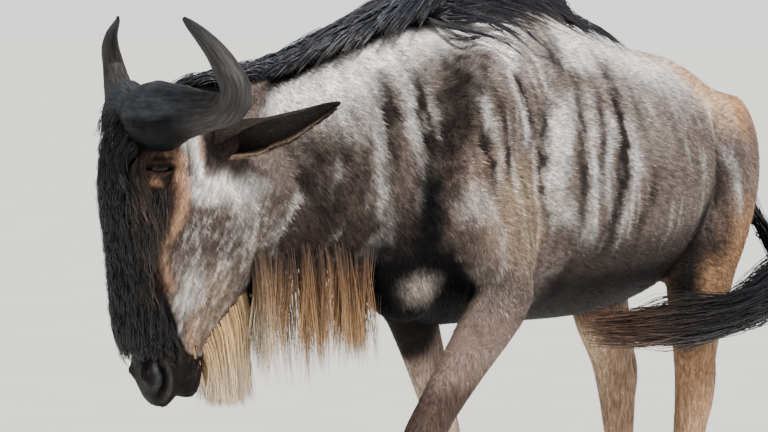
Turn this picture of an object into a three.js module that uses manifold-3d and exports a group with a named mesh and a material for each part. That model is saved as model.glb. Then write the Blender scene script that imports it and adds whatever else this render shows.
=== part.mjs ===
// A life-size blue wildebeest bull, walking with its head low and its left foreleg swung forward.
// Millimetres, +Z up, the floor at Z 0. The animal faces -Y and its left side is +X.
import * as THREE from "three";
import { LoftGeometry } from "three/addons/geometries/LoftGeometry.js";
import { mergeVertices } from "three/addons/utils/BufferGeometryUtils.js";
import Module from "manifold-3d";

const wasm = await Module();
wasm.setup();

// Driving dimensions
const WITHERS = 1345; // height of the skin over the shoulders
const CROUP = 1195; // height of the rump
const CHEST = 690; // height of the breastbone
const SEAM = 0.35; // gap between two pieces that touch
const CENTRE = new THREE.Vector3(-120, 144, 0); // middle of the whole model's outline on the floor

// Heading of the head: turned to the animal's right, nose almost straight down
const HEAD_TURN = 32; // degrees from straight ahead
const HEAD_DROP = 90; // degrees from level
const HEAD_ROLL = 2.5; // degrees about the face's own line
const POLL = new THREE.Vector3(-232, -632, 1110); // between the horns, inside the skull

const vec = (x, y, z) => new THREE.Vector3(x, y, z);
const rad = THREE.MathUtils.degToRad;
const lerp = THREE.MathUtils.lerp;

// A repeatable stream of numbers from 0 to 1, for hair that is never quite the same twice
function stream(seed) {
  let state = seed;
  return () => {
    state = (Math.imul(state, 1664525) + 1013904223) >>> 0;
    return state / 4294967296;
  };
}

// Colours
const paint = (color, roughness) => new THREE.MeshStandardMaterial({ color, roughness, metalness: 0 });
const COAT = paint(0x6b5d54, 0.8);
const HORN = paint(0x4a4642, 0.55);
const HOOF = paint(0x2b2724, 0.5);
const EYE = paint(0x120b08, 0.1);
const TAIL_HAIR = paint(0x17151a, 0.6);

// A three.js geometry as a closed solid, turned right side out.
function solid(geometry) {
  const bare = new THREE.BufferGeometry();
  bare.setAttribute("position", geometry.attributes.position);
  bare.setIndex(geometry.index);
  const merged = mergeVertices(bare, 1e-3);
  const corners = merged.index.array;
  const kept = [];
  for (let i = 0; i < corners.length; i += 3) {
    const [a, b, c] = corners.slice(i, i + 3);
    if (a !== b && b !== c && c !== a) kept.push(a, b, c);
  }
  const vertProperties = new Float32Array(merged.attributes.position.array);
  const build = (list) =>
    new wasm.Manifold(new wasm.Mesh({ numProp: 3, vertProperties, triVerts: new Uint32Array(list) }));
  const made = build(kept);
  if (made.volume() > 0) return made;
  for (let i = 0; i < kept.length; i += 3) [kept[i], kept[i + 1]] = [kept[i + 1], kept[i]];
  return build(kept);
}

const join = (pieces) => pieces.reduce((whole, piece) => whole.add(piece));

// The biggest closed surface of a solid.
function largest(shape) {
  const bodies = shape.decompose();
  return bodies.reduce((best, body) => (body.volume() > best.volume() ? body : best));
}

// A named mesh of a solid.
function meshOf(name, shape, material) {
  const { numProp, numVert, vertProperties, triVerts } = largest(shape).getMesh();
  const positions = new Float32Array(numVert * 3);
  for (let i = 0; i < numVert; i++) {
    positions.set(vertProperties.subarray(i * numProp, i * numProp + 3), i * 3);
  }
  const geometry = new THREE.BufferGeometry();
  geometry.setAttribute("position", new THREE.BufferAttribute(positions, 3));
  geometry.setIndex(new THREE.BufferAttribute(new Uint32Array(triVerts), 1));
  geometry.computeVertexNormals();
  const mesh = new THREE.Mesh(geometry, material);
  mesh.name = name;
  return mesh;
}

// A body lofted through stations. A station is at a point, with its half width across, its reach
// up and down from that point, and how far its top and bottom are pinched in.
function loft(stations, { rings, sides, across = vec(1, 0, 0), grow = 0, place = null }) {
  const smooth = (pick) => new THREE.CatmullRomCurve3(stations.map(pick), false, "catmullrom", 0.5);
  const line = smooth((s) => s.at);
  const reach = smooth((s) => vec(s.wide, s.up, s.down));
  const pinch = smooth((s) => vec(s.pinchUp ?? 0, s.pinchDown ?? 0, s.square ?? 2));
  const sections = [];
  for (let i = 0; i <= rings; i++) {
    const t = i / rings;
    const centre = line.getPoint(t);
    const ahead = line.getTangent(t);
    const side = across.clone().addScaledVector(ahead, -across.dot(ahead)).normalize();
    const lift = side.clone().cross(ahead).normalize();
    const { x: wide, y: up, z: down } = reach.getPoint(t);
    const { x: pinchUp, y: pinchDown, z: square } = pinch.getPoint(t);
    const ring = [];
    for (let k = 0; k < sides; k++) {
      const angle = ((0.5 - k) / sides) * 2 * Math.PI;
      const c = Math.cos(angle);
      const s = Math.sin(angle);
      const bend = 2 / square;
      const squeeze = s > 0 ? 1 - pinchUp * s * s : 1 - pinchDown * s * s;
      const x = (wide + grow) * Math.sign(c) * Math.abs(c) ** bend * squeeze;
      const z = ((s > 0 ? up : down) + grow) * Math.sign(s) * Math.abs(s) ** bend;
      const point = centre.clone().addScaledVector(side, x).addScaledVector(lift, z);
      ring.push(place ? point.applyMatrix4(place) : point);
    }
    sections.push(ring);
  }
  return solid(new LoftGeometry(sections, { capStart: true, capEnd: true }));
}

// An ellipsoid at a point, with its half sizes, turned by three angles in degrees.
function bulge(at, size, turn = [0, 0, 0], detail = 12, place = null) {
  const shape = new THREE.SphereGeometry(1, detail, Math.round(detail * 0.7));
  shape.scale(...size);
  shape.applyMatrix4(new THREE.Matrix4().makeRotationFromEuler(new THREE.Euler(...turn.map(rad))));
  shape.translate(at.x, at.y, at.z);
  if (place) shape.applyMatrix4(place);
  return solid(shape);
}

// A box from its middle, its size and its turn in degrees, made bigger all round by grow.
function block(at, size, turn = [0, 0, 0], grow = 0) {
  const shape = new THREE.BoxGeometry(...size.map((s) => s + 2 * grow));
  shape.applyMatrix4(new THREE.Matrix4().makeRotationFromEuler(new THREE.Euler(...turn.map(rad))));
  shape.translate(at.x, at.y, at.z);
  return solid(shape);
}

// Both sides of a thing that is made for the left side: side is 1 on the left and -1 on the right.
const SIDES = { left: 1, right: -1 };

// Trunk: its skin line over and under, its half width and the height of its widest part
const torsoStation = (y, top, bottom, wide, middle, pinchUp, pinchDown = 0.1) => ({
  at: vec(0, y, middle),
  wide,
  up: top - middle,
  down: middle - bottom,
  pinchUp,
  pinchDown,
});
const TORSO = [
  torsoStation(-300, 1060, 850, 50, 960, 0.1),
  torsoStation(-270, 1120, 785, 100, 955, 0.15),
  torsoStation(-200, 1215, 730, 144, 950, 0.3),
  torsoStation(-100, 1305, 695, 172, 948, 0.42),
  torsoStation(0, WITHERS, CHEST, 188, 945, 0.5),
  torsoStation(120, WITHERS - 5, CHEST - 8, 204, 935, 0.45),
  torsoStation(250, 1316, CHEST - 12, 222, 925, 0.35),
  torsoStation(400, 1286, CHEST - 14, 234, 925, 0.25),
  torsoStation(550, 1262, CHEST, 228, 940, 0.2),
  torsoStation(670, 1246, CHEST + 36, 206, 970, 0.18),
  torsoStation(790, CROUP + 28, CHEST + 95, 182, 1000, 0.2),
  torsoStation(890, 1176, CHEST + 140, 156, 1010, 0.22),
  torsoStation(972, 1118, CHEST + 190, 116, 1008, 0.2),
  torsoStation(1022, 1060, CHEST + 240, 58, 1005, 0.2),
];

// The neck bends to the right on its way to the head
const NECK = [
  { at: vec(0, -20, 1070), wide: 130, up: 220, down: 225, pinchUp: 0.45, pinchDown: 0.3 },
  { at: vec(-10, -170, 1045), wide: 132, up: 240, down: 242, pinchUp: 0.5, pinchDown: 0.4 },
  { at: vec(-50, -300, 1015), wide: 116, up: 220, down: 214, pinchUp: 0.5, pinchDown: 0.5 },
  { at: vec(-100, -400, 990), wide: 102, up: 198, down: 186, pinchUp: 0.5, pinchDown: 0.55 },
  { at: vec(-152, -490, 980), wide: 94, up: 176, down: 158, pinchUp: 0.45, pinchDown: 0.5 },
  { at: vec(-200, -575, 995), wide: 84, up: 150, down: 120, pinchUp: 0.4, pinchDown: 0.45 },
];

// Head frame: x to the left, y back to the neck, z from the nose to the poll. A point of it is
// written face(across, down, out): across to the left, down the face from the poll, out in front.
const face = (across, down, out) => vec(across, -out, -down);
const HEAD_FRAME = new THREE.Matrix4()
  .makeTranslation(POLL.x, POLL.y, POLL.z)
  .multiply(new THREE.Matrix4().makeRotationZ(rad(-HEAD_TURN)))
  .multiply(new THREE.Matrix4().makeRotationX(rad(HEAD_DROP - 90)))
  .multiply(new THREE.Matrix4().makeRotationY(rad(HEAD_ROLL)));

const skullStation = (down, front, back, wide, pinchUp = 0.1, pinchDown = 0.2, square = 2.2) => ({
  at: face(0, down, (front + back) / 2),
  wide,
  up: (front - back) / 2,
  down: (front - back) / 2,
  pinchUp,
  pinchDown,
  square,
});
// Face and brain case, down to the upper lip
const SKULL = [
  skullStation(-62, 30, -60, 45, 0, 0),
  skullStation(-42, 62, -95, 76, 0.1, 0.1),
  skullStation(10, 92, -130, 92),
  skullStation(70, 112, -150, 98, 0.2, 0.15),
  skullStation(130, 116, -160, 98, 0.35, 0.15),
  skullStation(190, 113, -150, 90, 0.35, 0.2),
  skullStation(250, 106, -112, 77, 0.25, 0.22),
  skullStation(310, 98, -68, 65, 0.12, 0.18),
  skullStation(370, 91, -36, 58, 0.05, 0.14, 2.4),
  skullStation(420, 86, -26, 57, 0.05, 0.1, 2.5),
  skullStation(462, 77, -20, 60, 0.05, 0.1, 2.5),
  skullStation(498, 67, -8, 61, 0, 0.1, 2.5),
  skullStation(524, 54, 6, 54, 0, 0.05, 2.4),
  skullStation(539, 42, 16, 36, 0, 0),
];
// Lower jaw, from its broad angle under the ear to the chin
const JAW = [
  skullStation(50, -60, -130, 60, 0.2, 0),
  skullStation(120, -50, -168, 76, 0.45, 0),
  skullStation(190, -40, -184, 80, 0.5, 0),
  skullStation(245, -30, -176, 74, 0.45, 0),
  skullStation(295, -22, -154, 62, 0.4, 0),
  skullStation(345, -16, -116, 50, 0.35, 0),
  skullStation(395, -12, -78, 42, 0.25, 0),
  skullStation(440, -8, -59, 41, 0.2, 0),
  skullStation(482, -2, -55, 44, 0.2, 0.1),
  skullStation(510, 2, -47, 40, 0.2, 0.1),
  skullStation(525, -4, -34, 22, 0, 0),
];

// Legs: knots from the body down, each with its half width and its reach to the front and back
const legKnot = (x, y, z, wide, front, back = front) => ({
  at: vec(x, y, z),
  wide,
  up: back,
  down: front,
});
const FORELEG_RIGHT = [
  legKnot(-118, -95, 1010, 60, 90, 110),
  legKnot(-138, -100, 900, 68, 105, 105),
  legKnot(-148, -30, 810, 58, 82, 88),
  legKnot(-136, 22, 730, 46, 62, 76),
  legKnot(-115, 62, 610, 37, 48, 54),
  legKnot(-96, 94, 490, 32, 37, 38),
  legKnot(-88, 104, 428, 33, 40, 36),
  legKnot(-85, 116, 368, 26, 30, 28),
  legKnot(-82, 132, 262, 20, 25),
  legKnot(-80, 144, 160, 25, 29, 31),
  legKnot(-80, 134, 116, 24, 26),
  legKnot(-80, 120, 72, 29, 33),
  legKnot(-80, 110, 44, 30, 35),
];
const FORELEG_LEFT = [
  legKnot(118, -95, 1010, 60, 90, 110),
  legKnot(140, -110, 900, 68, 105, 105),
  legKnot(152, -80, 812, 60, 90, 92),
  legKnot(150, -95, 738, 50, 74, 66),
  legKnot(134, -188, 636, 40, 60, 50),
  legKnot(118, -276, 540, 35, 50, 42),
  legKnot(112, -318, 478, 37, 48, 44),
  legKnot(110, -313, 415, 27, 33, 30),
  legKnot(108, -300, 310, 20, 25),
  legKnot(107, -290, 205, 22, 26, 27),
  legKnot(107, -288, 158, 26, 30, 31),
  legKnot(107, -290, 116, 24, 27),
  legKnot(106, -288, 84, 28, 31),
  legKnot(106, -285, 56, 29, 33),
];
const hindKnots = (side, thigh, stifle, gaskin, hock, hoof) => [
  legKnot(side * 84, thigh, 1110, 74, 130, 128),
  legKnot(side * 106, thigh + 8, 1000, 86, 165, 170),
  legKnot(side * 122, lerp(thigh, stifle, 0.6), 880, 78, 158, 156),
  legKnot(side * 130, stifle, 780, 62, 130, 116),
  legKnot(side * 127, gaskin, 670, 50, 94, 72),
  legKnot(side * 119, lerp(gaskin, hock, 0.66), 570, 41, 66, 44),
  legKnot(side * 114, hock, 492, 38, 56, 42),
  legKnot(side * 111, lerp(hock, hoof, 0.15), 425, 33, 46, 38),
  legKnot(side * 108, lerp(hock, hoof, 0.45), 320, 24, 31, 29),
  legKnot(side * 106, lerp(hock, hoof, 0.85), 195, 27, 31),
  legKnot(side * 105, hoof - 2, 130, 24, 27),
  legKnot(side * 104, hoof - 20, 74, 29, 33),
  legKnot(side * 104, hoof - 30, 44, 30, 35),
];
// The cord behind the shin, down to the point of the hock
const heelKnots = (side, gaskin, hock) => [
  legKnot(side * 122, gaskin + 62, 705, 20, 24),
  legKnot(side * 118, lerp(gaskin, hock, 0.6) + 62, 600, 13, 17),
  legKnot(side * 115, hock + 57, 525, 17, 20),
  legKnot(side * 113, hock + 42, 465, 17, 20),
  legKnot(side * 111, hock + 14, 405, 14, 16),
];
const HINDLEG_LEFT = hindKnots(1, 832, 768, 758, 766, 676);
const HINDLEG_RIGHT = hindKnots(-1, 832, 785, 792, 838, 850);
const HEELS = [heelKnots(1, 758, 766), heelKnots(-1, 792, 838)];

// The tail comes round the left buttock and its tuft is swept forward beside the thigh
const TAIL = [
  legKnot(0, 955, 1050, 34, 40),
  legKnot(4, 1015, 1018, 28, 30),
  legKnot(20, 1056, 965, 22, 23),
  legKnot(66, 1082, 885, 17, 18),
  legKnot(122, 1076, 812, 15, 15),
  legKnot(176, 1036, 762, 13, 13),
  legKnot(212, 975, 738, 12, 12),
];

// Horns: from the middle of the brow out, down and up again, with the tips turned in
const hornKnot = (across, down, out, deep, below, above = below) => ({
  at: face(across, down, out),
  wide: deep,
  up: below,
  down: above,
});
const HORN_LEFT = [
  hornKnot(-12, -5, 72, 44, 52, 54),
  hornKnot(50, 0, 73, 48, 60, 60),
  hornKnot(100, -2, 62, 46, 56, 58),
  hornKnot(150, -12, 44, 39, 42, 47),
  hornKnot(205, -26, 22, 35, 36, 37),
  hornKnot(255, -42, 4, 34, 34),
  hornKnot(284, -74, -4, 32, 31),
  hornKnot(280, -110, 2, 27, 27),
  hornKnot(256, -144, 20, 22, 22),
  hornKnot(219, -173, 40, 16, 16),
  hornKnot(184, -194, 54, 10, 10),
  hornKnot(168, -204, 60, 5, 5),
];
const HORN_RIGHT = [
  hornKnot(12, -5, 72, 44, 52, 54),
  hornKnot(-50, 0, 73, 48, 60, 60),
  hornKnot(-100, -2, 62, 46, 56, 58),
  hornKnot(-150, -14, 44, 39, 42, 47),
  hornKnot(-205, -32, 22, 35, 36, 37),
  hornKnot(-254, -52, 4, 33, 33),
  hornKnot(-278, -84, -2, 30, 30),
  hornKnot(-270, -116, 10, 25, 25),
  hornKnot(-246, -144, 28, 19, 19),
  hornKnot(-214, -164, 40, 13, 13),
  hornKnot(-186, -177, 50, 8, 8),
  hornKnot(-172, -183, 54, 4, 4),
];

const X = vec(1, 0, 0);
const Y = vec(0, 1, 0);
const torso = loft(TORSO, { rings: 20, sides: 20, across: X });
const neck = loft(NECK, { rings: 10, sides: 16, across: X.clone().negate() });
const skull = loft(SKULL, { rings: 19, sides: 16, across: X, place: HEAD_FRAME });
const jaw = loft(JAW, { rings: 11, sides: 12, across: X, place: HEAD_FRAME });
const leg = (knots, grow = 0) => loft(knots, { rings: 16, sides: 10, across: X, grow });
const horn = (knots, side, grow = 0) =>
  loft(knots, { rings: 16, sides: 10, across: vec(0, side, 0), grow, place: HEAD_FRAME });

// Shoulder, breast and haunch muscles that stand a little proud of the trunk
const MUSCLES = [
  bulge(vec(114, -112, 1040), [68, 120, 215], [-14, 0, 0], 10),
  bulge(vec(-114, -102, 1040), [68, 120, 215], [-14, 0, 0], 10),
  bulge(vec(0, -205, 800), [88, 84, 94], [10, 0, 0], 10),
];

// Face details, each side alike
const onFace = (build) => Object.values(SIDES).map(build);
const ORBITS = onFace((side) =>
  bulge(face(side * 56, 78, 62), [42, 54, 44], [0, 0, 0], 9, HEAD_FRAME));
const BROWS = onFace((side) =>
  bulge(face(side * 62, 52, 70), [36, 40, 16], [-8, 0, 0], 8, HEAD_FRAME));
const CHEEKS = onFace((side) =>
  bulge(face(side * 58, 160, -70), [34, 82, 92], [0, 0, 0], 9, HEAD_FRAME));
const NOSTRIL_RIMS = onFace((side) =>
  bulge(face(side * 40, 472, 48), [25, 32, 50], [-8, 0, side * 10], 8, HEAD_FRAME));
const EYE_AT = (side) => face(side * 76, 79, 66);
const EYE_RADIUS = 21;
const LID_BALLS = onFace((side) =>
  bulge(EYE_AT(side), Array(3).fill(EYE_RADIUS + 4.5), [0, 0, 0], 8, HEAD_FRAME));

// Cuts in the face: eye slits, nostrils and the line of the mouth
const sockets = onFace((side) =>
  bulge(EYE_AT(side), Array(3).fill(EYE_RADIUS + SEAM), [0, 0, 0], 8, HEAD_FRAME));
const slits = onFace((side) =>
  bulge(face(side * 96, 82, 69), [20, 21, 6], [side * 6, 0, side * 12], 8, HEAD_FRAME));
const NOSTRIL = [[432, 90], [429, 72], [444, 54], [472, 42], [498, 44], [522, 58]];
const nostrils = onFace((side) =>
  loft(NOSTRIL.map(([down, out], i) => ({
    at: face(side * (58 - 2 * i), down, out), wide: 24, up: [4, 8, 9, 6, 5, 3][i], down: 4,
  })), { rings: 8, sides: 6, across: vec(side, 0, 0), place: HEAD_FRAME }));
const MOUTH = [
  [600, 40], [560, 26], [530, 15], [510, 5], [490, -6], [472, -18], [450, -27], [428, -30],
].map(([down, out]) => ({ at: face(0, down, out), wide: 95, up: 1.7, down: 1.7, square: 8 }));
const mouth = loft(MOUTH, { rings: 7, sides: 4, across: X, place: HEAD_FRAME });

// An ear: a leaf rolled into a cup, open to the outside, from a closed root to a thin tip
const EAR_LINE = (side) => new THREE.CatmullRomCurve3([
  face(side * 84, 34, -46), face(side * 152, 20, -132), face(side * 215, -40, -222),
]);
function ear(side) {
  const line = EAR_LINE(side);
  const opening = vec(side * 0.72, -0.25, -0.64).normalize();
  const sections = [];
  const RINGS = 8;
  const ARC = 5;
  for (let i = 0; i <= RINGS; i++) {
    const t = i / RINGS;
    const centre = line.getPoint(t);
    const ahead = line.getTangent(t);
    const out = opening.clone().addScaledVector(ahead, -opening.dot(ahead)).normalize();
    const wing = ahead.clone().cross(out).normalize();
    const radius = 5 + 36 * Math.sin(Math.PI * (0.16 + 0.84 * t) ** 0.8) ** 0.9;
    const open = lerp(2.75, 1.5, Math.min(1, t * 2.2));
    const wall = lerp(5, 2.2, t);
    const ring = [];
    for (let k = 0; k <= ARC; k++) {
      const angle = lerp(-open, open, k / ARC);
      ring.push([radius * Math.cos(angle), radius * Math.sin(angle)]);
    }
    for (let k = ARC; k >= 0; k--) {
      const angle = lerp(-open, open, k / ARC) * 0.96;
      ring.push([(radius - wall) * Math.cos(angle), (radius - wall) * Math.sin(angle)]);
    }
    sections.push(ring.map(([u, v]) =>
      centre.clone().addScaledVector(out, -u).addScaledVector(wing, -v).applyMatrix4(HEAD_FRAME)));
  }
  return solid(new LoftGeometry(sections, { capStart: true, capEnd: true }));
}
const EAR_ROOTS = onFace((side) =>
  bulge(face(side * 82, 36, -54), [34, 40, 38], [0, 0, 0], 8, HEAD_FRAME));
// All that lies further out than the place where an ear parts from its root
function beyondEarRoot(side, further) {
  const line = EAR_LINE(side);
  const ahead = line.getTangent(0.2);
  const box = new THREE.BoxGeometry(300, 300, 300);
  box.translate(0, 150 + further, 0);
  box.applyQuaternion(new THREE.Quaternion().setFromUnitVectors(Y, ahead));
  const at = line.getPoint(0.2);
  box.translate(at.x, at.y, at.z);
  box.applyMatrix4(HEAD_FRAME);
  return solid(box);
}
const EARS = { left: ear(1), right: ear(-1) };

// A flat lock of hair that runs through a root, a bend and a tip. Its flat side faces as given.
function lock(points, wide, thick, facing, rings = 4) {
  const line = new THREE.CatmullRomCurve3(points);
  const sections = Array.from({ length: rings }, (_, i) => {
    const t = i / (rings - 1);
    const at = line.getPoint(t);
    const ahead = line.getTangent(t);
    const side = ahead.clone().cross(facing).normalize();
    const flat = side.clone().cross(ahead).normalize();
    const w = wide * lerp(1, 0.12, t ** 2.2);
    const h = thick * lerp(1, 0.35, t);
    const corner = (u, v) => at.clone().addScaledVector(side, u).addScaledVector(flat, v);
    return [corner(w, 0), corner(0, -h), corner(-w, 0), corner(0, h)];
  });
  return solid(new LoftGeometry(sections, { capStart: true, capEnd: true }));
}
// The same, from a root, the way it leaves the skin, the way it falls, and its length
function fallingLock(root, out, fall, length, wide, thick, facing, rise = 0.42) {
  const start = root.clone().addScaledVector(out, -Math.min(14, length * 0.2));
  const bend = root.clone().addScaledVector(out, length * rise);
  const tip = bend.clone().addScaledVector(fall, length * (1 - rise));
  return lock([start, bend, tip], wide, thick, facing);
}
const aim = (x, y, z) => vec(x, y, z).normalize();

// Mane: rooted along the crest, thrown forward over the neck and back over the withers
const CREST = [
  vec(-196, -570, 1136), vec(-152, -490, 1152), vec(-100, -400, 1184), vec(-50, -300, 1232),
  vec(-10, -170, 1284), vec(0, -80, 1316), vec(0, 20, 1342), vec(0, 140, 1340),
  vec(0, 260, 1316), vec(0, 380, 1290),
];
const CREST_HAIR = [80, 105, 125, 140, 150, 150, 150, 160, 165, 110];
const CREST_CORE = [18, 26, 30, 33, 35, 33, 26, 16, 8, 2];
const CORE = CREST.map((at, i) => ({ at, wide: 24, up: CREST_CORE[i], down: 40, pinchUp: 0.4 }));
function maneLocks() {
  const random = stream(13);
  const line = new THREE.CatmullRomCurve3(CREST);
  const locks = [loft(CORE, { rings: 12, sides: 6, across: X })];
  const COUNT = 36;
  for (let i = 0; i < COUNT; i++) {
    const t = (i + 0.9 + 0.6 * random()) / (COUNT + 1.5);
    const side = i % 2 ? 1 : -1;
    const k = t * (CREST_HAIR.length - 1);
    const near = Math.floor(k);
    const length = lerp(CREST_HAIR[near], CREST_HAIR[Math.min(near + 1, 9)], k - near);
    const lie = Math.max(0, t - 0.45) / 0.55;
    const root = line.getPoint(t).add(vec(side * (6 + 6 * random()), 0, lerp(4, -8, lie)));
    const forward = line.getTangent(t).negate();
    const thrown = THREE.MathUtils.smoothstep(t, 0.4, 0.6);
    const out = aim(side * (0.3 + 0.3 * lie), 0.15 + 0.8 * thrown, 0.95 - 0.7 * lie);
    const sink = lerp(0.1, -0.3, lie) - 0.2 * random();
    const back = aim(side * (0.3 + 0.35 * random()), 0.9, sink);
    const over = forward.add(vec(-0.3 + 0.25 * side, 0, 0.1 - 0.3 * random())).normalize();
    const fall = over.lerp(back, thrown).normalize();
    const reach = length * (0.85 + 0.3 * random());
    const rise = lerp([0.4, 0.2, 0.3][i % 3], 0.42, thrown);
    locks.push(fallingLock(root, out, fall, reach, 31, 7, vec(side, 0.2, 0.3), rise));
  }
  return locks;
}

// Throat fringe: two rows of long locks that hang from the jaw's angle to the lower neck
const THROAT = [
  vec(-184, -548, 868), vec(-160, -505, 846), vec(-115, -420, 826), vec(-70, -330, 810),
  vec(-40, -255, 796), vec(-20, -200, 770),
];
const THROAT_HAIR = [175, 235, 240, 220, 205, 130];
const THROAT_CORE = THROAT.map((at, i) => ({
  at, wide: 16, up: 30, down: 0.4 * THROAT_HAIR[i], pinchDown: 0.5,
}));
function fringeLocks() {
  const random = stream(23);
  const line = new THREE.CatmullRomCurve3(THROAT);
  const locks = [loft(THROAT_CORE, { rings: 8, sides: 6, across: X })];
  const COUNT = 23;
  for (let i = 0; i < COUNT; i++) {
    const t = (i + 0.5 * random()) / COUNT;
    const side = i % 2 ? 1 : -1;
    const k = t * (THROAT_HAIR.length - 1);
    const near = Math.floor(k);
    const length = lerp(THROAT_HAIR[near], THROAT_HAIR[near + 1], k - near) * (0.85 + 0.25 * random());
    const root = line.getPoint(t).add(vec(side * 8, 0, 14));
    const out = aim(side * 0.22, 0.1, -1);
    const fall = aim(side * 0.06, 0.12 + 0.2 * random() + 0.25 * t * t, -1);
    locks.push(fallingLock(root, out, fall, length, 21, 4.5, vec(side, -0.2, 0)));
  }
  return locks;
}

// Beard under the jaw and the brush of hair down the front of the face, in the head's frame
const inHead = (points, wide, thick, facing) => {
  const turned = facing.clone().transformDirection(HEAD_FRAME);
  return lock(points.map((p) => p.clone().applyMatrix4(HEAD_FRAME)), wide, thick, turned);
};
function beardLocks() {
  const random = stream(41);
  return Array.from({ length: 9 }, (_, i) => {
    const side = i % 2 ? 1 : -1;
    const down = 285 + 10 * i + 6 * random();
    const out = -150 + 7 * i;
    return inHead([
      face(side * 9, down - 20, out + 24),
      face(side * 15, down + 80, out),
      face(side * 13, 500 + 40 * random(), out + 6 - 10 * random()),
    ], 14, 5, vec(1, 0.1 * side, 0));
  });
}
const BRUSH = [[18, 140], [245, 144], [322, 125], [398, 104], [450, 86], [520, 60]];
function brushOut(down) {
  const after = Math.max(1, BRUSH.findIndex(([d]) => d > down));
  const [[d0, o0], [d1, o1]] = BRUSH.slice(after - 1, after + 1);
  return lerp(o0, o1, (down - d0) / (d1 - d0));
}
function brushLocks() {
  const random = stream(59);
  const core = loft([40, 120, 210, 290, 370, 440].map((down, i) => {
    const skin = [108, 112, 106, 96, 88, 80][i];
    const out = (brushOut(down) - skin) / 2;
    return { at: face(0, down, skin - 30), wide: 50, up: 30 + out, down: 10, square: 2.6 };
  }), { rings: 5, sides: 10, across: X, place: HEAD_FRAME });
  const locks = Array.from({ length: 12 }, (_, i) => {
    const row = Math.floor(i / 3);
    const across = lerp(-46, 46, (i % 3) / 2) + 8 * (random() - 0.5) + (row % 2 ? 8 : -8);
    const down = 54 + row * 76 + 14 * random();
    const curve = 0.004 * across * across;
    return inHead([
      face(across * 0.9, down - 14, lerp(98, 82, row / 3) - curve),
      face(across * 1.1, down + 44, brushOut(down + 44) - 2 - curve),
      face(across * 1.15, down + 118 + 14 * random(), brushOut(down + 118) - 13 - curve),
    ], 32, 10, face(0.3 * Math.sign(across), 0.2, 1));
  });
  return [core, ...locks];
}

// Tail tuft: locks that leave the dock one after another and stream forward
const TUFT_LINE = new THREE.CatmullRomCurve3([
  vec(196, 1008, 748), vec(222, 930, 722), vec(232, 820, 692), vec(226, 690, 672),
  vec(210, 550, 664), vec(188, 420, 664), vec(162, 300, 670), vec(140, 215, 678),
]);
function tuftLocks() {
  const random = stream(83);
  return Array.from({ length: 9 }, (_, i) => {
    const from = 0.44 * (i / 9);
    const to = Math.min(1, from + 0.45 + 0.25 * random());
    const rise = lerp(-1, 1, random());
    const off = (t, spread) => TUFT_LINE.getPoint(t).add(vec(3 * rise, 0, rise * spread));
    return lock([off(from, 4), off(lerp(from, to, 0.35), 28), off(lerp(from, to, 0.7), 36),
      off(to, lerp(44, 12, to))], 18, 8, X, 5);
  });
}
const TUFT_CORE = [
  legKnot(196, 1008, 748, 14, 14),
  legKnot(222, 930, 722, 15, 18),
  legKnot(232, 820, 692, 14, 20),
  legKnot(226, 690, 672, 6, 10),
];
const tuft = join([loft(TUFT_CORE, { rings: 8, sides: 8, across: X }), ...tuftLocks()]);
const dock = loft(TAIL, { rings: 14, sides: 8, across: X });

// Feet: where the top of each hoof sits and how far its toe is tipped down
const HOOF_HEIGHT = 58;
const FEET = {
  foreleg_left: { at: vec(106, -286, 70), tip: 36 },
  foreleg_right: { at: vec(-80, 114, HOOF_HEIGHT), tip: 0 },
  hindleg_left: { at: vec(104, 650, HOOF_HEIGHT), tip: 0 },
  hindleg_right: { at: vec(-104, 824, HOOF_HEIGHT), tip: 0 },
};
const footFrame = ({ at, tip }) => new THREE.Matrix4()
  .makeTranslation(at.x, at.y, at.z)
  .multiply(new THREE.Matrix4().makeRotationX(rad(tip)));
// All that lies under the top of a hoof, or a little lower
function footBox(foot, lower) {
  const below = new THREE.BoxGeometry(160, 200, 140);
  below.translate(0, 0, -70 - lower);
  below.applyMatrix4(footFrame(foot));
  return solid(below);
}
const FLOOR = block(vec(0, 0, -200), [4000, 4000, 400]);
function claw(foot, side) {
  const knots = [
    legKnot(side * 17.5, 2, 8, 14, 31, 29),
    legKnot(side * 18, -3, -16, 15, 37, 31),
    legKnot(side * 18.5, -8, -44, 16, 44, 35),
    legKnot(side * 19, -10, -HOOF_HEIGHT, 16, 46, 36),
  ].map((knot) => ({ ...knot, square: 2.5 }));
  return loft(knots, { rings: 3, sides: 8, across: X, place: footFrame(foot) })
    .intersect(footBox(foot, SEAM))
    .subtract(FLOOR);
}
const dewclaws = (foot) => [1, -1].map((side) =>
  bulge(vec(side * 15, 30, 64), [9, 10, 15], [-20, 0, 0], 5, footFrame(foot)));
const legToHoof = (knots, foot) =>
  join([leg(knots), ...dewclaws(foot)]).subtract(footBox(foot, 0));
const LEGS = {
  foreleg_left: FORELEG_LEFT,
  foreleg_right: FORELEG_RIGHT,
  hindleg_left: HINDLEG_LEFT,
  hindleg_right: HINDLEG_RIGHT,
};

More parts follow.
